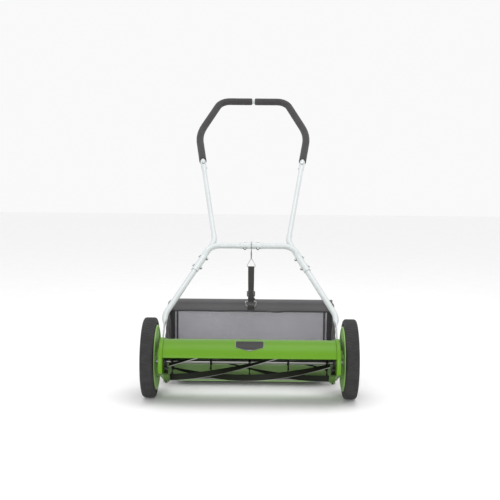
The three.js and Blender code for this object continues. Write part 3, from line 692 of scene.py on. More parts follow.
def gear_cover(bm):
    """A flat cover close to the wheel, with raised rings, a rolled edge and a sleeve."""
    face, back, sleeve_in = COVER_X, COVER_BACK, 0.2545
    profile = [
        (0.0235, sleeve_in), (0.0235, face - 0.003), (0.0265, face), (0.060, face),
        (0.0606, face - 0.0008), (0.0626, face - 0.0008), (0.0632, face), (0.0865, face),
        (0.0875, face - 0.0014), (0.0890, face - 0.0020), (0.0925, face - 0.0020),
        (0.0942, face - 0.0014), (COVER_R, face), (COVER_R, back - 0.0004), (0.0946, back),
        (0.017, back), (0.0152, face), (0.0152, sleeve_in),
    ]
    lathe(bm, profile, HUB, 144)


def cover_wall(bm):
    """The curved wall in front of the gears, with a bead along its middle."""
    inner, outer, bead = 0.0503, 0.0538, 0.0547
    low, high = FLANGE_X + 0.0004, COVER_X + 0.0005
    across = [(inner, low), (outer, low), (outer, low + 0.008), (bead, low + 0.0088),
              (bead, low + 0.0112), (outer, low + 0.012), (outer, high), (inner, high)]
    loft(bm, [[(x, *polar(HUB, radius, radians(angle))) for radius, x in across]
              for angle in even(155, 325, 60)])


def shaft_collar(bm):
    """The raised boss of the gear cover round the reel's shaft."""
    bore, proud = 0.0084, COVER_X + 0.0003
    profile = [(bore, COVER_X - 0.004), (0.0125, COVER_X - 0.004), (0.0132, COVER_X - 0.0034),
               (0.0145, proud), (bore, proud)]
    lathe(bm, profile, REEL.yz, 48)


def bearing(bm):
    """The reel's bearing: a stepped housing with a grease cap round the shaft."""
    profile = [(0.0064, WEB_X - 0.0065), (0.012, WEB_X - 0.0065), (0.0125, WEB_X - 0.0055),
               (0.0175, WEB_X - 0.005), (0.0185, WEB_X - 0.004), (0.0185, WEB_X - 0.0003),
               (0.0155, WEB_X - 0.0003), (0.0155, 0.2555), (0.0064, 0.2555)]
    lathe(bm, profile, REEL.yz, 72)


def spring(bm, centre, low, high, radius, wire, coils):
    """A coil spring that stands upright."""
    steps = coils * 20
    path = [(*polar(centre, radius, 2 * pi * k / 20), low + (high - low) * k / steps)
            for k in range(steps + 1)]
    tube(bm, path, wire, 8)


def adjuster(bm):
    """The knife adjuster's bent arm, its shelf, and the upright screw with its spring."""
    x, y = ADJUSTER
    arm = [(-0.075, 0.102), (-0.054, 0.068), (-0.040, 0.060), (-0.024, 0.062), (-0.030, 0.073),
           (-0.043, 0.078), (-0.056, 0.106)]
    prism(bm, arm, WEB_X - 0.0062, WEB_X - 0.0022)
    shelf = [(-0.108, 0.0775), (-0.066, 0.0775), (-0.066, 0.081), (-0.108, 0.081)]
    prism(bm, shelf, x - 0.0072, WEB_X - 0.002)
    spring(bm, (x, y), 0.0815, 0.099, 0.0052, 0.0011, 5)
    post(bm, (x, y), [(0.003, 0.0625), (0.003, 0.110)], 16)


def ribbed_knob(bm):
    """The adjuster's knob, with seven finger ribs."""
    low, tall, radius = 0.1015, 0.0055, 0.0062
    loft(bm, [[(*polar(ADJUSTER, radius * share * (1 + 0.1 * cos(7 * angle)), angle), low + height * tall)
               for angle in turns(56)]
              for share, height in ((0.8, 0.0), (1.0, 0.12), (1.0, 0.85), (0.8, 1.0))])


def finned_guard(bm):
    """A comb of fins below the adjuster, each a little shorter than the last."""
    for k in range(6):
        x = WEB_X - 0.0025 - 0.0031 * k
        low = 0.0635 + 0.0016 * (k % 3)
        front = -0.117 + 0.0015 * (k % 2)
        fin = [(front, 0.093), (front + 0.001, low + 0.012), (front + 0.012, low),
               (-0.094, low + 0.001), (-0.0885, 0.0745), (-0.096, 0.0765), (-0.108, 0.0775)]
        prism(bm, fin, x - 0.0014, x)
    block = [(-0.1145, 0.0875), (-0.108, 0.0735), (-0.093, 0.0725), (-0.090, 0.0755), (-0.1085, 0.0772)]
    prism(bm, block, WEB_X - 0.0195, WEB_X - 0.0022)


def stud(bm):
    """The pivot stud: a collar behind the handle's foot and a domed head in front of it."""
    tab_in = 0.2596
    head = tab_in + 0.0036
    profile = [(0, SEAT_X), (0.0115, SEAT_X), (0.012, SEAT_X + 0.0007), (0.012, tab_in - 0.0003),
               (0.006, tab_in - 0.0003), (0.006, head + 0.0002), (0.0088, head + 0.0002),
               (0.0086, head + 0.0012), (0.006, head + 0.0022), (0, head + 0.0026)]
    lathe(bm, profile, PIVOT.yz, 48)


def axle(bm):
    """A stub axle: a thick root that ends behind the gear cover, and the wheel's journal."""
    root, journal, step, end = 0.013, 0.0065, COVER_X - 0.002, 0.305
    profile = [(0, SEAT_X), (root, SEAT_X), (root, step - 0.0004), (root - 0.0005, step), (journal, step),
               (journal, end - 0.0007), (journal - 0.0007, end), (0, end)]
    lathe(bm, profile, HUB, 48)


def pin_pair(bm):
    """The stop pin for the folded handle and the pin that the roller bracket swings on."""
    radius = 0.005
    for centre, foot, edge, end in ((FOLD_STOP, WEB_X + 0.0025, 0.2623, 0.263),
                                    (CARRIER.yz, WEB_X + 0.0005, 0.2366, 0.236)):
        profile = [(0, foot), (radius, foot), (radius, edge), (radius - 0.0007, end), (0, end)]
        lathe(bm, profile, centre, 32)


def on_deck(x, angle, radius):
    return (x, *polar(REEL.yz, radius, angle))


def deck(bm):
    """A rolled cover with a curled front lip, a turned-down rear edge and two pressed dimples."""
    def skin(x, angle, radius):
        side = smooth(1 - abs(abs(x) - DIMPLE_X) / 0.012)
        near = smooth(1 - abs(degrees(angle) - 72) / 17)
        return on_deck(x, angle, radius - 0.0032 * side * near)

    angles = even(DECK_FRONT, DECK_REAR, 56)
    around = [(angle, DECK_R) for angle in angles[1:]]
    around += [(angle, DECK_R - DECK_THICK) for angle in angles[::-1]]
    lip = polar(REEL.yz, DECK_R - 0.0028, DECK_FRONT + 0.018)
    rolled = arc(*lip, 0.0029, DECK_FRONT + pi * 1.12, DECK_FRONT + 0.1, 12)
    loft(bm, [[(x, y, z) for y, z in rolled] + [skin(x, *place) for place in around]
              for x in even(-SPAN, SPAN, 200)])


def shield_half(height):
    """Half the badge's width at an angle round the deck: almost straight, then drawn to a point."""
    t = (height - BADGE_LOW) / (BADGE_TIP - BADGE_LOW)
    knee = (BADGE_MID - BADGE_LOW) / (BADGE_TIP - BADGE_LOW)
    if t <= knee:
        return BADGE_HALF + 0.001 * sin(pi * t / knee)
    return BADGE_HALF * (1 - (t - knee) / (1 - knee)) ** 0.92 + 0.0004


def badge_part(inset, lift, thick):
    """A shield-shaped plate bent round the deck, with rounded edges."""
    def build(bm):
        rows = 44
        rings = []
        for k, height in enumerate(even(BADGE_LOW + inset * 900, BADGE_TIP - inset * 1500, rows)):
            angle = radians(height)
            half = max(shield_half(height) - inset, 0.0003)
            across = even(-half, half, 24)
            ring = []
            for x in across:
                edge = min(1.0, (half - abs(x)) / 0.0012, k / 2, (rows - k) / 2)
                ring.append(on_deck(x, angle, DECK_R + lift + thick * (0.45 + 0.55 * smooth(edge))))
            rings.append(ring + [on_deck(x, angle, DECK_R + lift) for x in across[::-1]])
        loft(bm, rings)
    return build


def tie_tube(bm):
    lathe(bm, both_ends([(0.0075, SPAN), (0.009, SPAN)]), TIE, 40)


def rod(bm):
    lathe(bm, both_ends([(0, SPAN), (0.005, SPAN)]), ROD.yz, 32)


def cutter_bar(bm):
    """A pressed channel: a foot under the knife, an upright back and a lip at the top."""
    section = [(-0.020, 0.052), (0.013, 0.052), (0.013, 0.092), (0.024, 0.095), (0.0232, 0.098),
               (0.010, 0.0944), (0.010, 0.0555), (-0.020, 0.0555)]
    prism(bm, section, -SPAN, SPAN)


def bed_knife(bm):
    """A ground blade under the reel, held down by seven domed screws."""
    half = CUT_HALF + 0.004
    section = [(-0.0435, 0.0623), (-0.020, 0.056), (0.004, 0.056), (0.004, 0.0592),
               (-0.0195, 0.0594), (-0.0425, 0.065)]
    prism(bm, section, -half, half)
    screw = [(0.0042, 0.0588), (0.0042, 0.0598), (0.0034, 0.0606), (0.0015, 0.0608)]
    for x in even(-0.210, 0.210, 6):
        post(bm, (x, -0.008), screw, 20)


def carrier_bracket(bm):
    """A bent arm from the pivot to the roller's axle, in two overlapping lengths."""
    elbow = (0.130, 0.031, 0.009)
    prism(bm, belt([(*CARRIER.yz, 0.013), elbow], 18), 0.238, 0.242)
    prism(bm, belt([elbow, (*ROLLER.yz, 0.009)], 18), 0.2382, 0.2418)


def clamp_knob(bm):
    """The knob that clamps the roller bracket, with six finger lobes."""
    profile = [(0, 0.2276), (0.009, 0.2276), (0.0115, 0.2286), (0.012, 0.230), (0.012, 0.2345),
               (0.0095, 0.2355), (0.0095, 0.2376), (0, 0.2376)]

    def lobes(angle, i, radius, x):
        return (radius * (1 + 0.09 * cos(6 * angle)) if 1 <= i <= 5 else radius), x

    lathe(bm, profile, CARRIER.yz, 72, lobes)


def roller_axle(bm):
    lathe(bm, both_ends([(0, 0.2435), (0.0042, 0.2435), (0.005, 0.2428)]), ROLLER.yz, 32)


def roller(bm):
    """A hollow moulded roller in six lengths with a groove between them."""
    half, radius = 0.232, ROLLER.z
    end = [(0.0055, half), (radius - 0.003, half), (radius - 0.0008, half - 0.0008),
           (radius, half - 0.003)]
    grooves = []
    for x in even(-half, half, 6)[1:-1]:
        grooves += [(radius, x - 0.003), (radius - 0.0022, x - 0.0012), (radius - 0.0022, x + 0.0012),
                    (radius, x + 0.003)]
    lathe(bm, both_ends(end)[:4] + grooves + end[::-1], ROLLER.yz, 72)


def add_chassis():
    pair("side_panel", side_plate, "green_paint", "chassis", ["side_plate_{side}"], sharp=40)
    pair("gear_case", gear_cover, "green_plastic", "chassis", ["gear_cover_{side}"])
    pair("cover_wall", cover_wall, "green_plastic", "chassis")
    pair("shaft_collar", shaft_collar, "green_plastic", "chassis")
    pair("wheel_axle", axle, "bare_steel", "chassis", ["axle_{side}"])
    pair("pivot_stud", stud, "zinc", "chassis", ["handle_stud_{side}"])
    pair("side_pins", pin_pair, "zinc", "chassis")
    pair("bearing_housing", bearing, "black_plastic", "chassis", ["reel_bearing_{side}"])
    pair("knife_adjuster", adjuster, "black_paint", "chassis")
    pair("adjuster_knob", ribbed_knob, "black_plastic", "chassis")
    # The fins wear a darker copy of the green plastic: painted shade below the deck's lip.
    pair("finned_guard", finned_guard, "green_shade", "chassis", slot="green_plastic")
    piece("deck", deck, "green_paint", "chassis", ["deck_cover"], sharp=50)
    piece("badge_plate", badge_part(0.0, 0.0003, 0.0014), "badge_border", "chassis", ["badge"],
          sharp=60, slot="black_plastic")
    piece("badge_face", badge_part(0.0022, 0.0015, 0.0004), "badge_face", "chassis",
          sharp=60, slot="black_plastic")
    piece("tie_bar", tie_tube, "black_paint", "chassis", ["tie_tube"])
    piece("hang_rod", rod, "black_paint", "chassis", ["catcher_rod"])
    # The cutter bar wears a lighter copy of the green paint: painted light under the deck.
    piece("knife_bar", cutter_bar, "green_bar", "chassis", ["cutter_bar"], bevel=0.0008,
          slot="green_paint")
    piece("knife", bed_knife, "bare_steel", "chassis", ["bed_knife"], bevel=0.0003)
    pair("roller_arm", carrier_bracket, "black_paint", "roller_carrier", ["roller_bracket_{side}"],
         bevel=0.0006)
    pair("clamp_knob", clamp_knob, "black_plastic", "roller_carrier")
    piece("roller_spindle", roller_axle, "zinc", "roller_carrier", ["roller_axle"])
    piece("roller_tube", roller, "black_plastic", "roller", ["rear_roller"])


# ---------- reel ----------
def blade_angle(x, number):
    return BLADE_START - BLADE_TWIST * x / (2 * CUT_HALF) + 2 * pi * number / BLADES


def blade(number):
    """A leaning strip wound round the reel, with a ground cutting edge."""
    lean = Vector((cos(BLADE_LEAN), sin(BLADE_LEAN)))
    across = Vector((-lean.y, lean.x))
    width = (REEL_R - BLADE_ROOT) / lean.x
    tip = Vector((REEL_R - 0.0004, 0))
    corners = [(0, 0), (0.0001, BLADE_THICK - 0.0008), (0.0008, BLADE_THICK),
               (width - 0.0005, BLADE_THICK), (width, BLADE_THICK - 0.0005), (width, 0.0005),
               (width - 0.0005, 0), (0.001, 0)]
    section = [tip - lean * inward + across * over for inward, over in corners]

    def build(bm):
        rings = []
        for x in even(-CUT_HALF, CUT_HALF, 160):
            turn = Matrix.Rotation(blade_angle(x, number), 2)
            rings.append([(x, *(REEL.yz + turn @ point)) for point in section])
        loft(bm, rings, slots=[1, 1, 0, 0, 0, 0, 0, 1])
    return build


def spider(x):
    """A pressed star: five tapering arms with rounded roots, a raised hub and a weld at each arm."""
    def build(bm):
        outline = []
        steps = 28
        root, reach = 0.0135, 0.0345
        for k in range(BLADES * steps):
            turn = k / steps
            away = abs((turn + 0.5) % 1 - 0.5)
            radius = root + (reach - root) * smooth(1 - (away - 0.055) / 0.24) ** 1.6
            outline.append(polar(REEL.yz, radius, blade_angle(x, turn) - BLADE_LEAN))
        prism(bm, outline, x - 0.0016, x + 0.0016)
        end = [(SHAFT_R + 0.0003, 0.003), (0.0078, 0.003), (0.0084, 0.0025)]
        lathe(bm, [(radius, x + out) for radius, out in both_ends(end)], REEL.yz, 40)
        bead = ((0.0008, -0.003), (0.002, -0.002), (0.0024, 0), (0.002, 0.002), (0.0008, 0.003))
        for k in range(BLADES):
            y, z = polar(REEL.yz, 0.0352, blade_angle(x, k) - BLADE_LEAN * 0.9)
            loft(bm, [[(x + out, y + a, z + b) for a, b in circle(radius, 12)] for radius, out in bead])
    return build


def reel_shaft(bm):
    end, chamfer = 0.295, 0.0008
    lathe(bm, both_ends([(0, end), (SHAFT_R - chamfer, end), (SHAFT_R, end - chamfer)]), REEL.yz, 36)


def add_reel():
    piece("shaft", reel_shaft, "bare_steel", "reel", ["reel_shaft"])
    for k in range(BLADES):
        piece(f"helix_blade_{k + 1}", blade(k), ["black_paint", "bare_steel"], "reel",
              [f"reel_blade_{k + 1}"], slot="bare_steel")
    for k in range(5):
        piece(f"spider_{k + 1}", spider((k - 2) * SPIDER_GAP), "black_paint", "reel",
              [f"reel_spider_{k + 1}"], bevel=0.0005)
    pair("pinion", pinion, "black_plastic", "reel", ["drive_pinion_{side}"])


# ---------- handle: x across, y up the handle, z towards the front ----------
def at_height(a, b, y):
    return a.lerp(b, (y - a.y) / (b.y - a.y))


def rounded_section(half_x, half_z, power, sides=32):
    """A superellipse: power 2 is round, and a higher power is squarer."""
    return [(half_x * copysign(abs(cos(angle)) ** (2 / power), cos(angle)),
             half_z * copysign(abs(sin(angle)) ** (2 / power), sin(angle))) for angle in turns(sides)]


def opened_section(mix, tube_r, front_r, back_r, swing, drop=0.0):
    """A round section that opens, as mix goes from 0 to 1, into a shell of half angle swing."""
    ring = []
    for start, sign, shell_r in ((-90, 1, front_r), (90, -1, back_r)):
        for t in even(0, 1, 19):
            at, angle = swing * (2 * t - 1) * sign, radians(start + 180 * t)
            shell = Vector((shell_r * sin(at), shell_r * cos(at) - drop))
            ring.append(Vector((tube_r * sin(angle), tube_r * cos(angle))).lerp(shell, mix))
    return ring


def lower_tube(bm):
    """A round tube whose foot is crushed flat and rounded off about the pivot."""
    end = at_height(NECK, SHOULDER, 0.4537)
    path = spaced(bent([((0.2614, -FOOT_HALF, 0), 0), (FOOT, 0.060), (NECK, 0.060), (end, 0)]), 0.0015)
    path = [p for i, p in enumerate(path) if p.y < 0.105 or i % 5 == 0 or i == len(path) - 1]

    def section(k):
        y = path[k].y
        flat = smooth((0.098 - y) / 0.030)
        width = LOWER_R + (FOOT_HALF - LOWER_R) * flat
        if y < 0:
            width = sqrt(max(FOOT_HALF ** 2 - y * y, 1e-8))
        thick = LOWER_R + (0.00175 - LOWER_R) * flat
        return rounded_section(thick, width, 2 + 3 * flat)

    sweep(bm, path, section)


def leg_frame(y):
    return at_height(FOOT, NECK, y)


def brace(bm):
    """Half of the cross brace, opened out into a saddle over the leg."""
    rise = Vector((0, 0, BRACE_RISE))
    path = [((0.004, BRACE_UP, BRACE_RISE), 0), (leg_frame(BRACE_UP) + rise, 0.052),
            (leg_frame(0.292) + rise, 0)]
    path = spaced(bent(path), 0.004)
    along = lengths(path)

    def section(k):
        mix = smooth((0.088 - (along[-1] - along[k])) / 0.026)
        return opened_section(mix, BRACE_R, 0.0116, 0.0098, radians(95), BRACE_RISE)

    sweep(bm, path, section)


def splice(bm):
    """A half sleeve over the two brace ends."""
    half, inner = 0.0375, 0.0097
    rings = []
    for x in even(-half, half, 60):
        outer = 0.0098 + 0.0012 * smooth((half - abs(x)) / 0.003)
        rings.append([(x, BRACE_UP + radius * sin(radians(a)), BRACE_RISE + radius * cos(radians(a)))
                      for radius, start in ((outer, -112), (inner, 112)) for a in even(start, -start, 24)])
    loft(bm, rings)


def splice_bolts(bm):
    for x in (-0.021, 0.021):
        bolt(bm, (x, BRACE_UP, BRACE_RISE), (0, 1, 0), 0.0108, 0.0027, 0.0048)


def brace_bolt(y):
    leg = (NECK - FOOT).normalized()
    out = Vector((leg.y, -leg.x, 0))

    def build(bm):
        bolt(bm, leg_frame(y), out, 0.0118, 0.0027, 0.0048)
    return build


def loop_corners(low):
    """Half of the handle's loop, from the middle of its top down to a height."""
    return [(TOP, 0.049), (SHOULDER, 0.180), (at_height(SHOULDER, NECK, low), 0)]


def loop_tube(bm):
    half = loop_corners(0.770)
    left = [(Vector((-p.x, p.y, p.z)), radius) for p, radius in half[::-1]]
    tube(bm, spaced(bent(left + half), 0.012), UPPER_R, 28)


def mid_tube(bm):
    """The middle tube; its top is a rounded tongue that lies over the front of the loop's end."""
    path = spaced([at_height(NECK, SHOULDER, 0.4540), at_height(NECK, SHOULDER, 0.8185)], 0.004)

    def section(k):
        y = path[k].y
        close = min(1.0, (0.8187 - y) / 0.0095)
        reach = sqrt(max(1 - (1 - close) ** 2, 0.0004))
        return opened_section(smooth((y - 0.762) / 0.014), UPPER_R, UPPER_R + 0.0018,
                              UPPER_R + 0.0003, radians(85) * reach)

    sweep(bm, path, section)


def grip(bm):
    """A foam sleeve with soft ends, notched at the front of its lower end for the tongue."""
    path = spaced(bent([((0.005, TOP.y, 0), 0)] + loop_corners(0.811)), 0.005)
    along = lengths(path)
    rings = []
    normal = Vector((0, 0, 1))
    for k, point in enumerate(path):
        tangent = (path[min(k + 1, len(path) - 1)] - path[max(k - 1, 0)]).normalized()
        side = tangent.cross(normal)
        left = along[-1] - along[k]
        soft = 0.0012 * (1 - smooth(min(along[k], left) / 0.003))
        ring = []
        for angle in turns(32):
            wobble = 0.00018 * noise.noise(point * 60 + Vector((angle, 0, 0)))
            notch = 0.009 * smooth((0.016 - left) / 0.016) * smooth((sin(angle) - 0.25) / 0.4)
            out = side * cos(angle) + normal * sin(angle)
            ring.append(point - tangent * notch + out * (GRIP_R - soft + wobble))
        rings.append(ring)
    loft(bm, rings)


def loop_bolt(bm):
    bolt(bm, at_height(SHOULDER, NECK, 0.796), (0, 0, 1), UPPER_R + 0.0019, 0.0026, 0.0046)


def snap_button(bm):
    """The spring button that locks the loop to the middle tube."""
    profile = [(0, -0.0036), (0.0018, -0.0034), (0.0032, -0.002), (0.0034, 0.001), (0, 0.001)]
    lathe(bm, [(radius, x - UPPER_R) for radius, x in profile], (0, 0), 24)
    bmesh.ops.translate(bm, vec=at_height(SHOULDER, NECK, 0.779), verts=bm.verts)


def add_handle():
    how = {"body": "handle", "place": HANDLE}
    pair("leg_tube", lower_tube, "white_paint", nodes=["lower_tube_{side}"], **how)
    pair("middle_tube", mid_tube, "white_paint", nodes=["mid_tube_{side}"], **how)
    pair("brace_half", brace, "white_paint", nodes=["brace_{side}"], **how)
    piece("handle_loop", loop_tube, "white_paint", nodes=["loop_tube"], **how)
    for sleeve in pair("foam_grip", grip, "foam", nodes=["grip_{side}"], sharp=60, **how):
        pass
    piece("splice_sleeve", splice, "white_paint", nodes=["brace_splice"], **how)
    piece("splice_bolts", splice_bolts, "zinc", **how)
    for k, y in enumerate(LEG_BOLTS):
        pair(f"leg_bolt_{k + 1}", brace_bolt(y), "zinc", nodes=[f"brace_bolt_{k + 1}_{{side}}"], **how)
    pair("tongue_bolt", loop_bolt, "zinc", nodes=["loop_bolt_{side}"], **how)
    pair("snap_button", snap_button, "zinc", **how)


# ---------- strap and hook ----------
def hook(bm):
    """Wire bent over the brace, twisted into a shank and opened into a triangle."""
    over = [(0, *polar(STRAP.yz, 0.0131, radians(a))) for a in even(-40, 200, 20)]
    over += [(0, STRAP.y - y, STRAP.z - z) for y, z in ((0.0105, 0.012), (0.006, 0.018), (0.002, 0.022))]
    tube(bm, over, 0.0015, 10, up=(1, 0, 0))
    for phase in (0, pi):
        twist = [(*polar((0, STRAP.y), 0.0014, phase + 5 * pi * t), STRAP.z - 0.020 - 0.021 * t)
                 for t in even(0, 1, 40)]
        tube(bm, twist, 0.0013, 8, up=(1, 0, 0))
    apex, left, right = [Vector((x, STRAP.y, z)) for x, z in
                         ((0, RING_TOP), (-0.0165, RING_LOW), (0.0165, RING_LOW))]
    start = right.lerp(apex, 0.5)
    ring = bent([(start, 0), (apex, 0.003), (left, 0.005), (right, 0.005), (start, 0)], radians(12))
    tube(bm, ring[:-1], 0.0016, 10, up=(0, 1, 0), loop=True)


def strap_line():
    """The webbing's middle line, down the front, round the ring bar and up the back."""
    front, back = STRAP.y - 0.0016, STRAP.y + 0.0016
    run = RING_LOW - BAR_Z - 0.008
    top = arc(STRAP.y, RING_LOW, 0.0027, pi, 0, 12)
    down = [(back + 0.0006 * sin(pi * t), RING_LOW - 0.004 - run * t) for t in even(0, 1, 12)]
    low = arc(STRAP.y + 0.0005, BAR_Z, 0.0027, 0, -pi, 12)
    up = [(front - 0.0008 * sin(pi * t), BAR_Z + 0.004 + run * t) for t in even(0, 1, 12)[:-1]]
    return top + down + low + up


def webbing_ring(x0, y, z, tangent, width):
    """A flat ribbed section across X at one place on the line."""
    side = Vector((0, -tangent[1], tangent[0]))
    ring = []
    for sign in (1, -1):
        for k in range(17):
            rib = 0.00085 + 0.00012 * cos(k * pi) * (0 < k < 16)
            edge = 0.35 if k in (0, 16) else 1.0
            ring.append(Vector((x0 + width * (k / 16 - 0.5) * sign, y, z)) + side * rib * edge * sign)
    return ring


def strap(bm):
    line = strap_line()
    rings = []
    for k, (y, z) in enumerate(line):
        before, after = line[k - 1], line[(k + 1) % len(line)]
        tangent = Vector((after[0] - before[0], after[1] - before[1])).normalized()
        waist = 0.0200 - 0.0016 * smooth((0.34 - z) / 0.09) + 0.0010 * smooth((0.275 - z) / 0.02)
        rings.append(webbing_ring(0, y, z, tangent, waist))
    loft(bm, rings, loop=True)


def tri_glide(bm):
    """A moulded slide buckle with three bars, standing a little wider than the webbing."""
    front, half = STRAP.y - 0.0042, 0.0118
    for z in (0.262, 0.2685, 0.275):
        tube(bm, [(x, front, z) for x in (-half, -0.006, 0, 0.006, half)], 0.0016, 12)
    for x in (-half, half):
        path = [(x, front + 0.001 * sin(pi * t), 0.260 + 0.017 * t) for t in even(0, 1, 6)]
        tube(bm, path, 0.0017, 12, up=(1, 0, 0))


def strap_tail(bm):
    """The loose end of the webbing, folded back through the buckle and curling to one side."""
    loft(bm, [webbing_ring(0.006 * smooth((t - 0.55) / 0.45), STRAP.y - 0.0066 - 0.0018 * sin(pi * t),
                           0.279 - 0.030 * t, (0, -1), 0.01755) for t in even(0, 1, 12)])


def d_ring(bm):
    """A wire D: a flat bar at the top and a rounded bow below it."""
    drop, width, foot = 0.0185, 0.0185, 0.015
    corners = [(0, 0, 0), (width, 0, 0.003), (foot, drop, 0.012), (-foot, drop, 0.012),
               (-width, 0, 0.003), (0, 0, 0)]
    bow = bent([(Vector((x, RING_Y, BAR_Z - down)), radius) for x, down, radius in corners], radians(10))
    tube(bm, bow[:-1], 0.0017, 12, up=(0, 1, 0), loop=True)


def add_strap():
    piece("wire_hook", hook, "zinc", "strap", ["strap_hook"])
    web = piece("strap_web", strap, "webbing", "strap", ["strap"])
    slider = piece("strap_slider", tri_glide, "black_plastic", "strap")
    tail = piece("strap_end", strap_tail, "webbing", "strap")
    for part in (web, slider, tail):
        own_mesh(part)


# ---------- catcher ----------
def side_top(y):
    """How high the bag's side stands at y."""
    if y < BAG_KNEE[0]:
        return BAG_LIP + (BAG_KNEE[1] - BAG_LIP) * (y - BAG_FRONT) / (BAG_KNEE[0] - BAG_FRONT)
    return BAG_KNEE[1] + (BAG_TOP - BAG_KNEE[1]) * (y - BAG_KNEE[0]) / (BAG_BACK - BAG_KNEE[0])


def grid(bm, rows):
    verts = [[bm.verts.new(point) for point in row] for row in rows]
    for a, b in zip(verts, verts[1:]):
        for i in range(len(a) - 1):
            bm.faces.new((a[i], a[i + 1], b[i + 1], b[i]))


def cloth_noise(point, scale, size):
    return size * noise.noise(Vector(point) * scale)


def bag_row(y, tuck, share):
    """One line of the bag from its left top edge, down, across and up. tuck=1 frames the panel."""
    right = BAG_HALF - 0.003 * smooth((BAG_BACK - y) / 0.10)
    left = -right + tuck * (PANEL_LEFT - 0.001 + right)
    right += tuck * (PANEL_RIGHT + 0.001 - right)
    floor = BAG_FLOOR + tuck * (PANEL_LOW + 0.002 - BAG_FLOOR)
    top = side_top(y) - tuck * 0.004
    loose = 1 - tuck

    def side(x, t, fold, crease, lean, phase, swell):
        z = top + (floor - top) * t
        wave = fold * sin(y * crease + z * lean + phase) * loose
        return x + (wave + swell) * sin(pi * t), y, z

    def base(t):
        sag = 0.0035 * sin(pi * t) * loose * sin(pi * share)
        return left + (right - left) * t, y, floor - sag + cloth_noise((t * 3, y * 8, 0), 2.0, 0.001)

    down = [side(left, t, 0.0042, 95, 16, 0.0, 0.003) for t in even(0, 1, 24)]
    up = [side(right, t, 0.0048, 88, 22, 1.0, -0.001) for t in even(1, 0, 24)]
    return down + [base(t) for t in even(0, 1, 60)[1:-1]] + up


def bag_body(bm):
    """Sides, floor and the border of the back, in one sheet that folds round the corners."""
    deep, border = 34, 8
    places = [(y, 0.0) for y in even(BAG_FRONT, BAG_BACK - 0.004, deep)]
    places += [(HOOP_BACK, tuck) for tuck in even(0, 1, border)[1:]]
    grid(bm, [bag_row(y, tuck, k / (deep + border)) for k, (y, tuck) in enumerate(places)])


def panel_point(x, z, forward=0.0):
    """A place on the mesh panel, which billows between its seams and ripples a little."""
    u = min(max((x - PANEL_LEFT) / (PANEL_RIGHT - PANEL_LEFT), 0), 1)
    w = min(max((z - PANEL_LOW) / (BAG_TOP - PANEL_LOW), 0), 1)
    belly = 0.005 * sin(pi * u) * sin(pi * w)
    return x, BAG_BACK - 0.003 + belly + cloth_noise((x * 9, z * 14, 0.3), 1.0, 0.0022) - forward, z


def mesh_panel(bm):
    grid(bm, [[panel_point(x, z) for x in even(PANEL_LEFT, PANEL_RIGHT, 90)]
              for z in even(PANEL_LOW, BAG_TOP - 0.006, 40)])


def piping(bm):
    """Corded seams down each end of the mesh panel and along its foot."""
    for x in (PANEL_LEFT + 0.009, PANEL_RIGHT - 0.009):
        path = [panel_point(x, z, 0.0022) for z in even(PANEL_LOW, BAG_TOP - 0.030, 24)]
        tube(bm, path, 0.0026, 10, up=(0, 1, 0))
    path = [panel_point(x, PANEL_LOW + 0.002, 0.0022) for x in even(PANEL_LEFT, PANEL_RIGHT, 40)]
    tube(bm, path, 0.0024, 10)


def hoop_corners():
    """The corners of the wire hoop, from its left end at the mouth to its right end."""
    knee = (BAG_KNEE[0] - 0.003, BAG_KNEE[1] + HOOP_RISE)
    run = [(-HOOP_HALF, MOUTH, 0), (-HOOP_HALF, knee, 0.020), (-HOOP_HALF, (HOOP_BACK, HOOP_TOP), 0.020)]
    run += [(-x, place, radius) for x, place, radius in run[::-1]]
    return [((x, *place), radius) for x, place, radius in run]


def hoop(bm):
    """The wire hoop, the rail along the mouth and the two hooks over the rod."""
    tube(bm, bent(hoop_corners(), radians(6)), 0.003, 14)
    lathe(bm, both_ends([(0, HOOP_HALF), (0.003, HOOP_HALF)]), MOUTH, 16)
    claw = arc(*ROD.yz, 0.0074, radians(200), radians(-35), 20) + [(0.127, 0.078), (0.140, 0.0685), MOUTH]
    for x in (-0.170, 0.170):
        tube(bm, [(x, y, z) for y, z in claw], 0.0024, 12, up=(1, 0, 0))


def sleeve(bm):
    """The dark hem that wraps the hoop down both sides of the bag."""
    path = [p for p in spaced(bent(hoop_corners(), radians(8)), 0.006) if p.z < BAG_TOP + 0.003]
    for sign in (-1, 1):
        run = [p for p in path[::-sign] if p.x * sign > 0]
        sections = [circle(0.0046 + 0.0006 * sin(p.y * 300 + sign), 16) for p in run]
        sweep(bm, run, sections.__getitem__)


def band_x(t):
    return -BAG_HALF + 0.002 + (2 * BAG_HALF - 0.004) * t


def hem_drop(x):
    """How far the hem hangs below the hoop: it sags a little right of the middle."""
    sag = 0.0022 * smooth(1 - abs(x - 0.088) / 0.045)
    return HEM_DROP + sag + cloth_noise((x * 14, 0, 0), 1.0, 0.0008)


def band(bm):
    """The top hem: cloth folded over the back of the hoop, hanging down both its sides."""
    rows = []
    over = 0.0050
    for t in even(0, 1, 120):
        x = band_x(t)
        drop = hem_drop(x)
        lower = 0.018 * (1 - smooth((x + BAG_HALF) / 0.034))
        row = []
        for s in even(0, 1, 12):
            z = HOOP_TOP - drop + (drop - 0.002) * s
            bow = 0.0012 * sin(pi * s) + cloth_noise((x * 22, z * 30, 1.7), 1.0, 0.0010)
            row.append((x, HOOP_BACK - over - 0.0012 + bow - (0 if s else 0.001), z - lower * s))
        row += [(x, y, z - lower) for y, z in arc(HOOP_BACK, HOOP_TOP, over, pi, 0, 10)[1:-1]]
        row += [(x, HOOP_BACK + over + 0.0006, HOOP_TOP - 0.002 - 0.026 * s - lower * (1 - s))
                for s in even(0, 1, 7)]
        rows.append(row)
    grid(bm, rows)


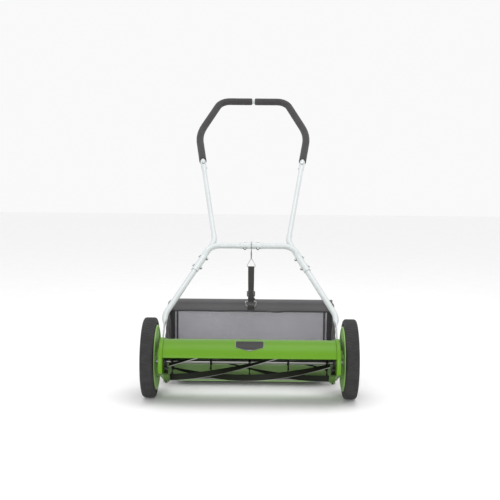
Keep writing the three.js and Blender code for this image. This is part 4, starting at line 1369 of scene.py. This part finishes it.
def hem_cord(bm):
    """The darker rolled edge along the foot of the top hem."""
    path = [(x, BAG_BACK - 0.0077, HOOP_TOP - hem_drop(x) + 0.0012) for x in map(band_x, even(0, 1, 90))]
    ring = rounded_section(0.0016, 0.0028, 2.6, 14)
    sweep(bm, path, lambda k: ring)


def stitch(bm, place, along, rise):
    """One short stitch that stands proud of the cloth in its middle."""
    middle = Vector(place)
    ends = [middle + Vector(along) * sign + Vector((0, rise, 0)) for sign in (-1, 1)]
    tube(bm, [ends[0], middle, ends[1]], 0.00045, 6, up=(1, 0, 0) if along[2] else (0, 0, 1))


def stitches(bm):
    """Two rows of short stitches along the top hem and one beside each corded seam."""
    for k in range(100):
        for z in (HOOP_TOP - 0.0085, HOOP_TOP - HEM_DROP + 0.0075):
            stitch(bm, (band_x((k + 0.5) / 100), BAG_BACK - 0.0086, z), (0.0015, 0, 0), 0.0008)
    for x in (PANEL_LEFT + 0.0045, PANEL_RIGHT - 0.0045):
        for k in range(34):
            stitch(bm, panel_point(x, PANEL_LOW + 0.006 + 0.0042 * k, 0.0012), (0, 0, 0.0013), 0.0006)


def ring_tab(bm):
    """The webbing tab that holds the D-ring on the hem."""
    line = [(RING_Y + 0.0006, 0.012), (RING_Y - 0.0028, 0.0155), (RING_Y - 0.0034, 0.0195),
            (RING_Y - 0.0008, 0.0225), (BAG_BACK - 0.0085, 0.0235), (BAG_BACK - 0.0082, 0.030)]
    grid(bm, [[(x, y, BAR_Z - down) for x in even(-0.011, 0.011, 10)] for y, down in line])


def add_catcher():
    frame_wire = piece("catcher_hoop", hoop, "black_paint", "catcher", ["catcher_frame"])
    piece("ring_d", d_ring, "zinc", "catcher", ["d_ring"])
    body = piece("bag_body", bag_body, "bag_fabric", "catcher", ["catcher_bag"], thick=0.0012)
    net = piece("bag_panel", mesh_panel, "bag_mesh", "catcher", thick=0.0006, slot="bag_fabric")
    top = piece("bag_hem", band, "bag_band", "catcher", thick=0.0012, slot="bag_fabric")
    trim = [piece("bag_piping", piping, "bag_fabric", "catcher"),
            piece("bag_sleeve", sleeve, "bag_fabric", "catcher")]
    edge = [piece("hem_edge", hem_cord, "bag_fabric", "catcher"),
            piece("bag_stitches", stitches, "bag_fabric", "catcher")]
    tab = piece("ring_tab", ring_tab, "webbing", "catcher", thick=0.0014)


add_camera()
add_studio()
add_wheels()
add_chassis()
add_reel()
add_handle()
add_strap()
add_catcher()
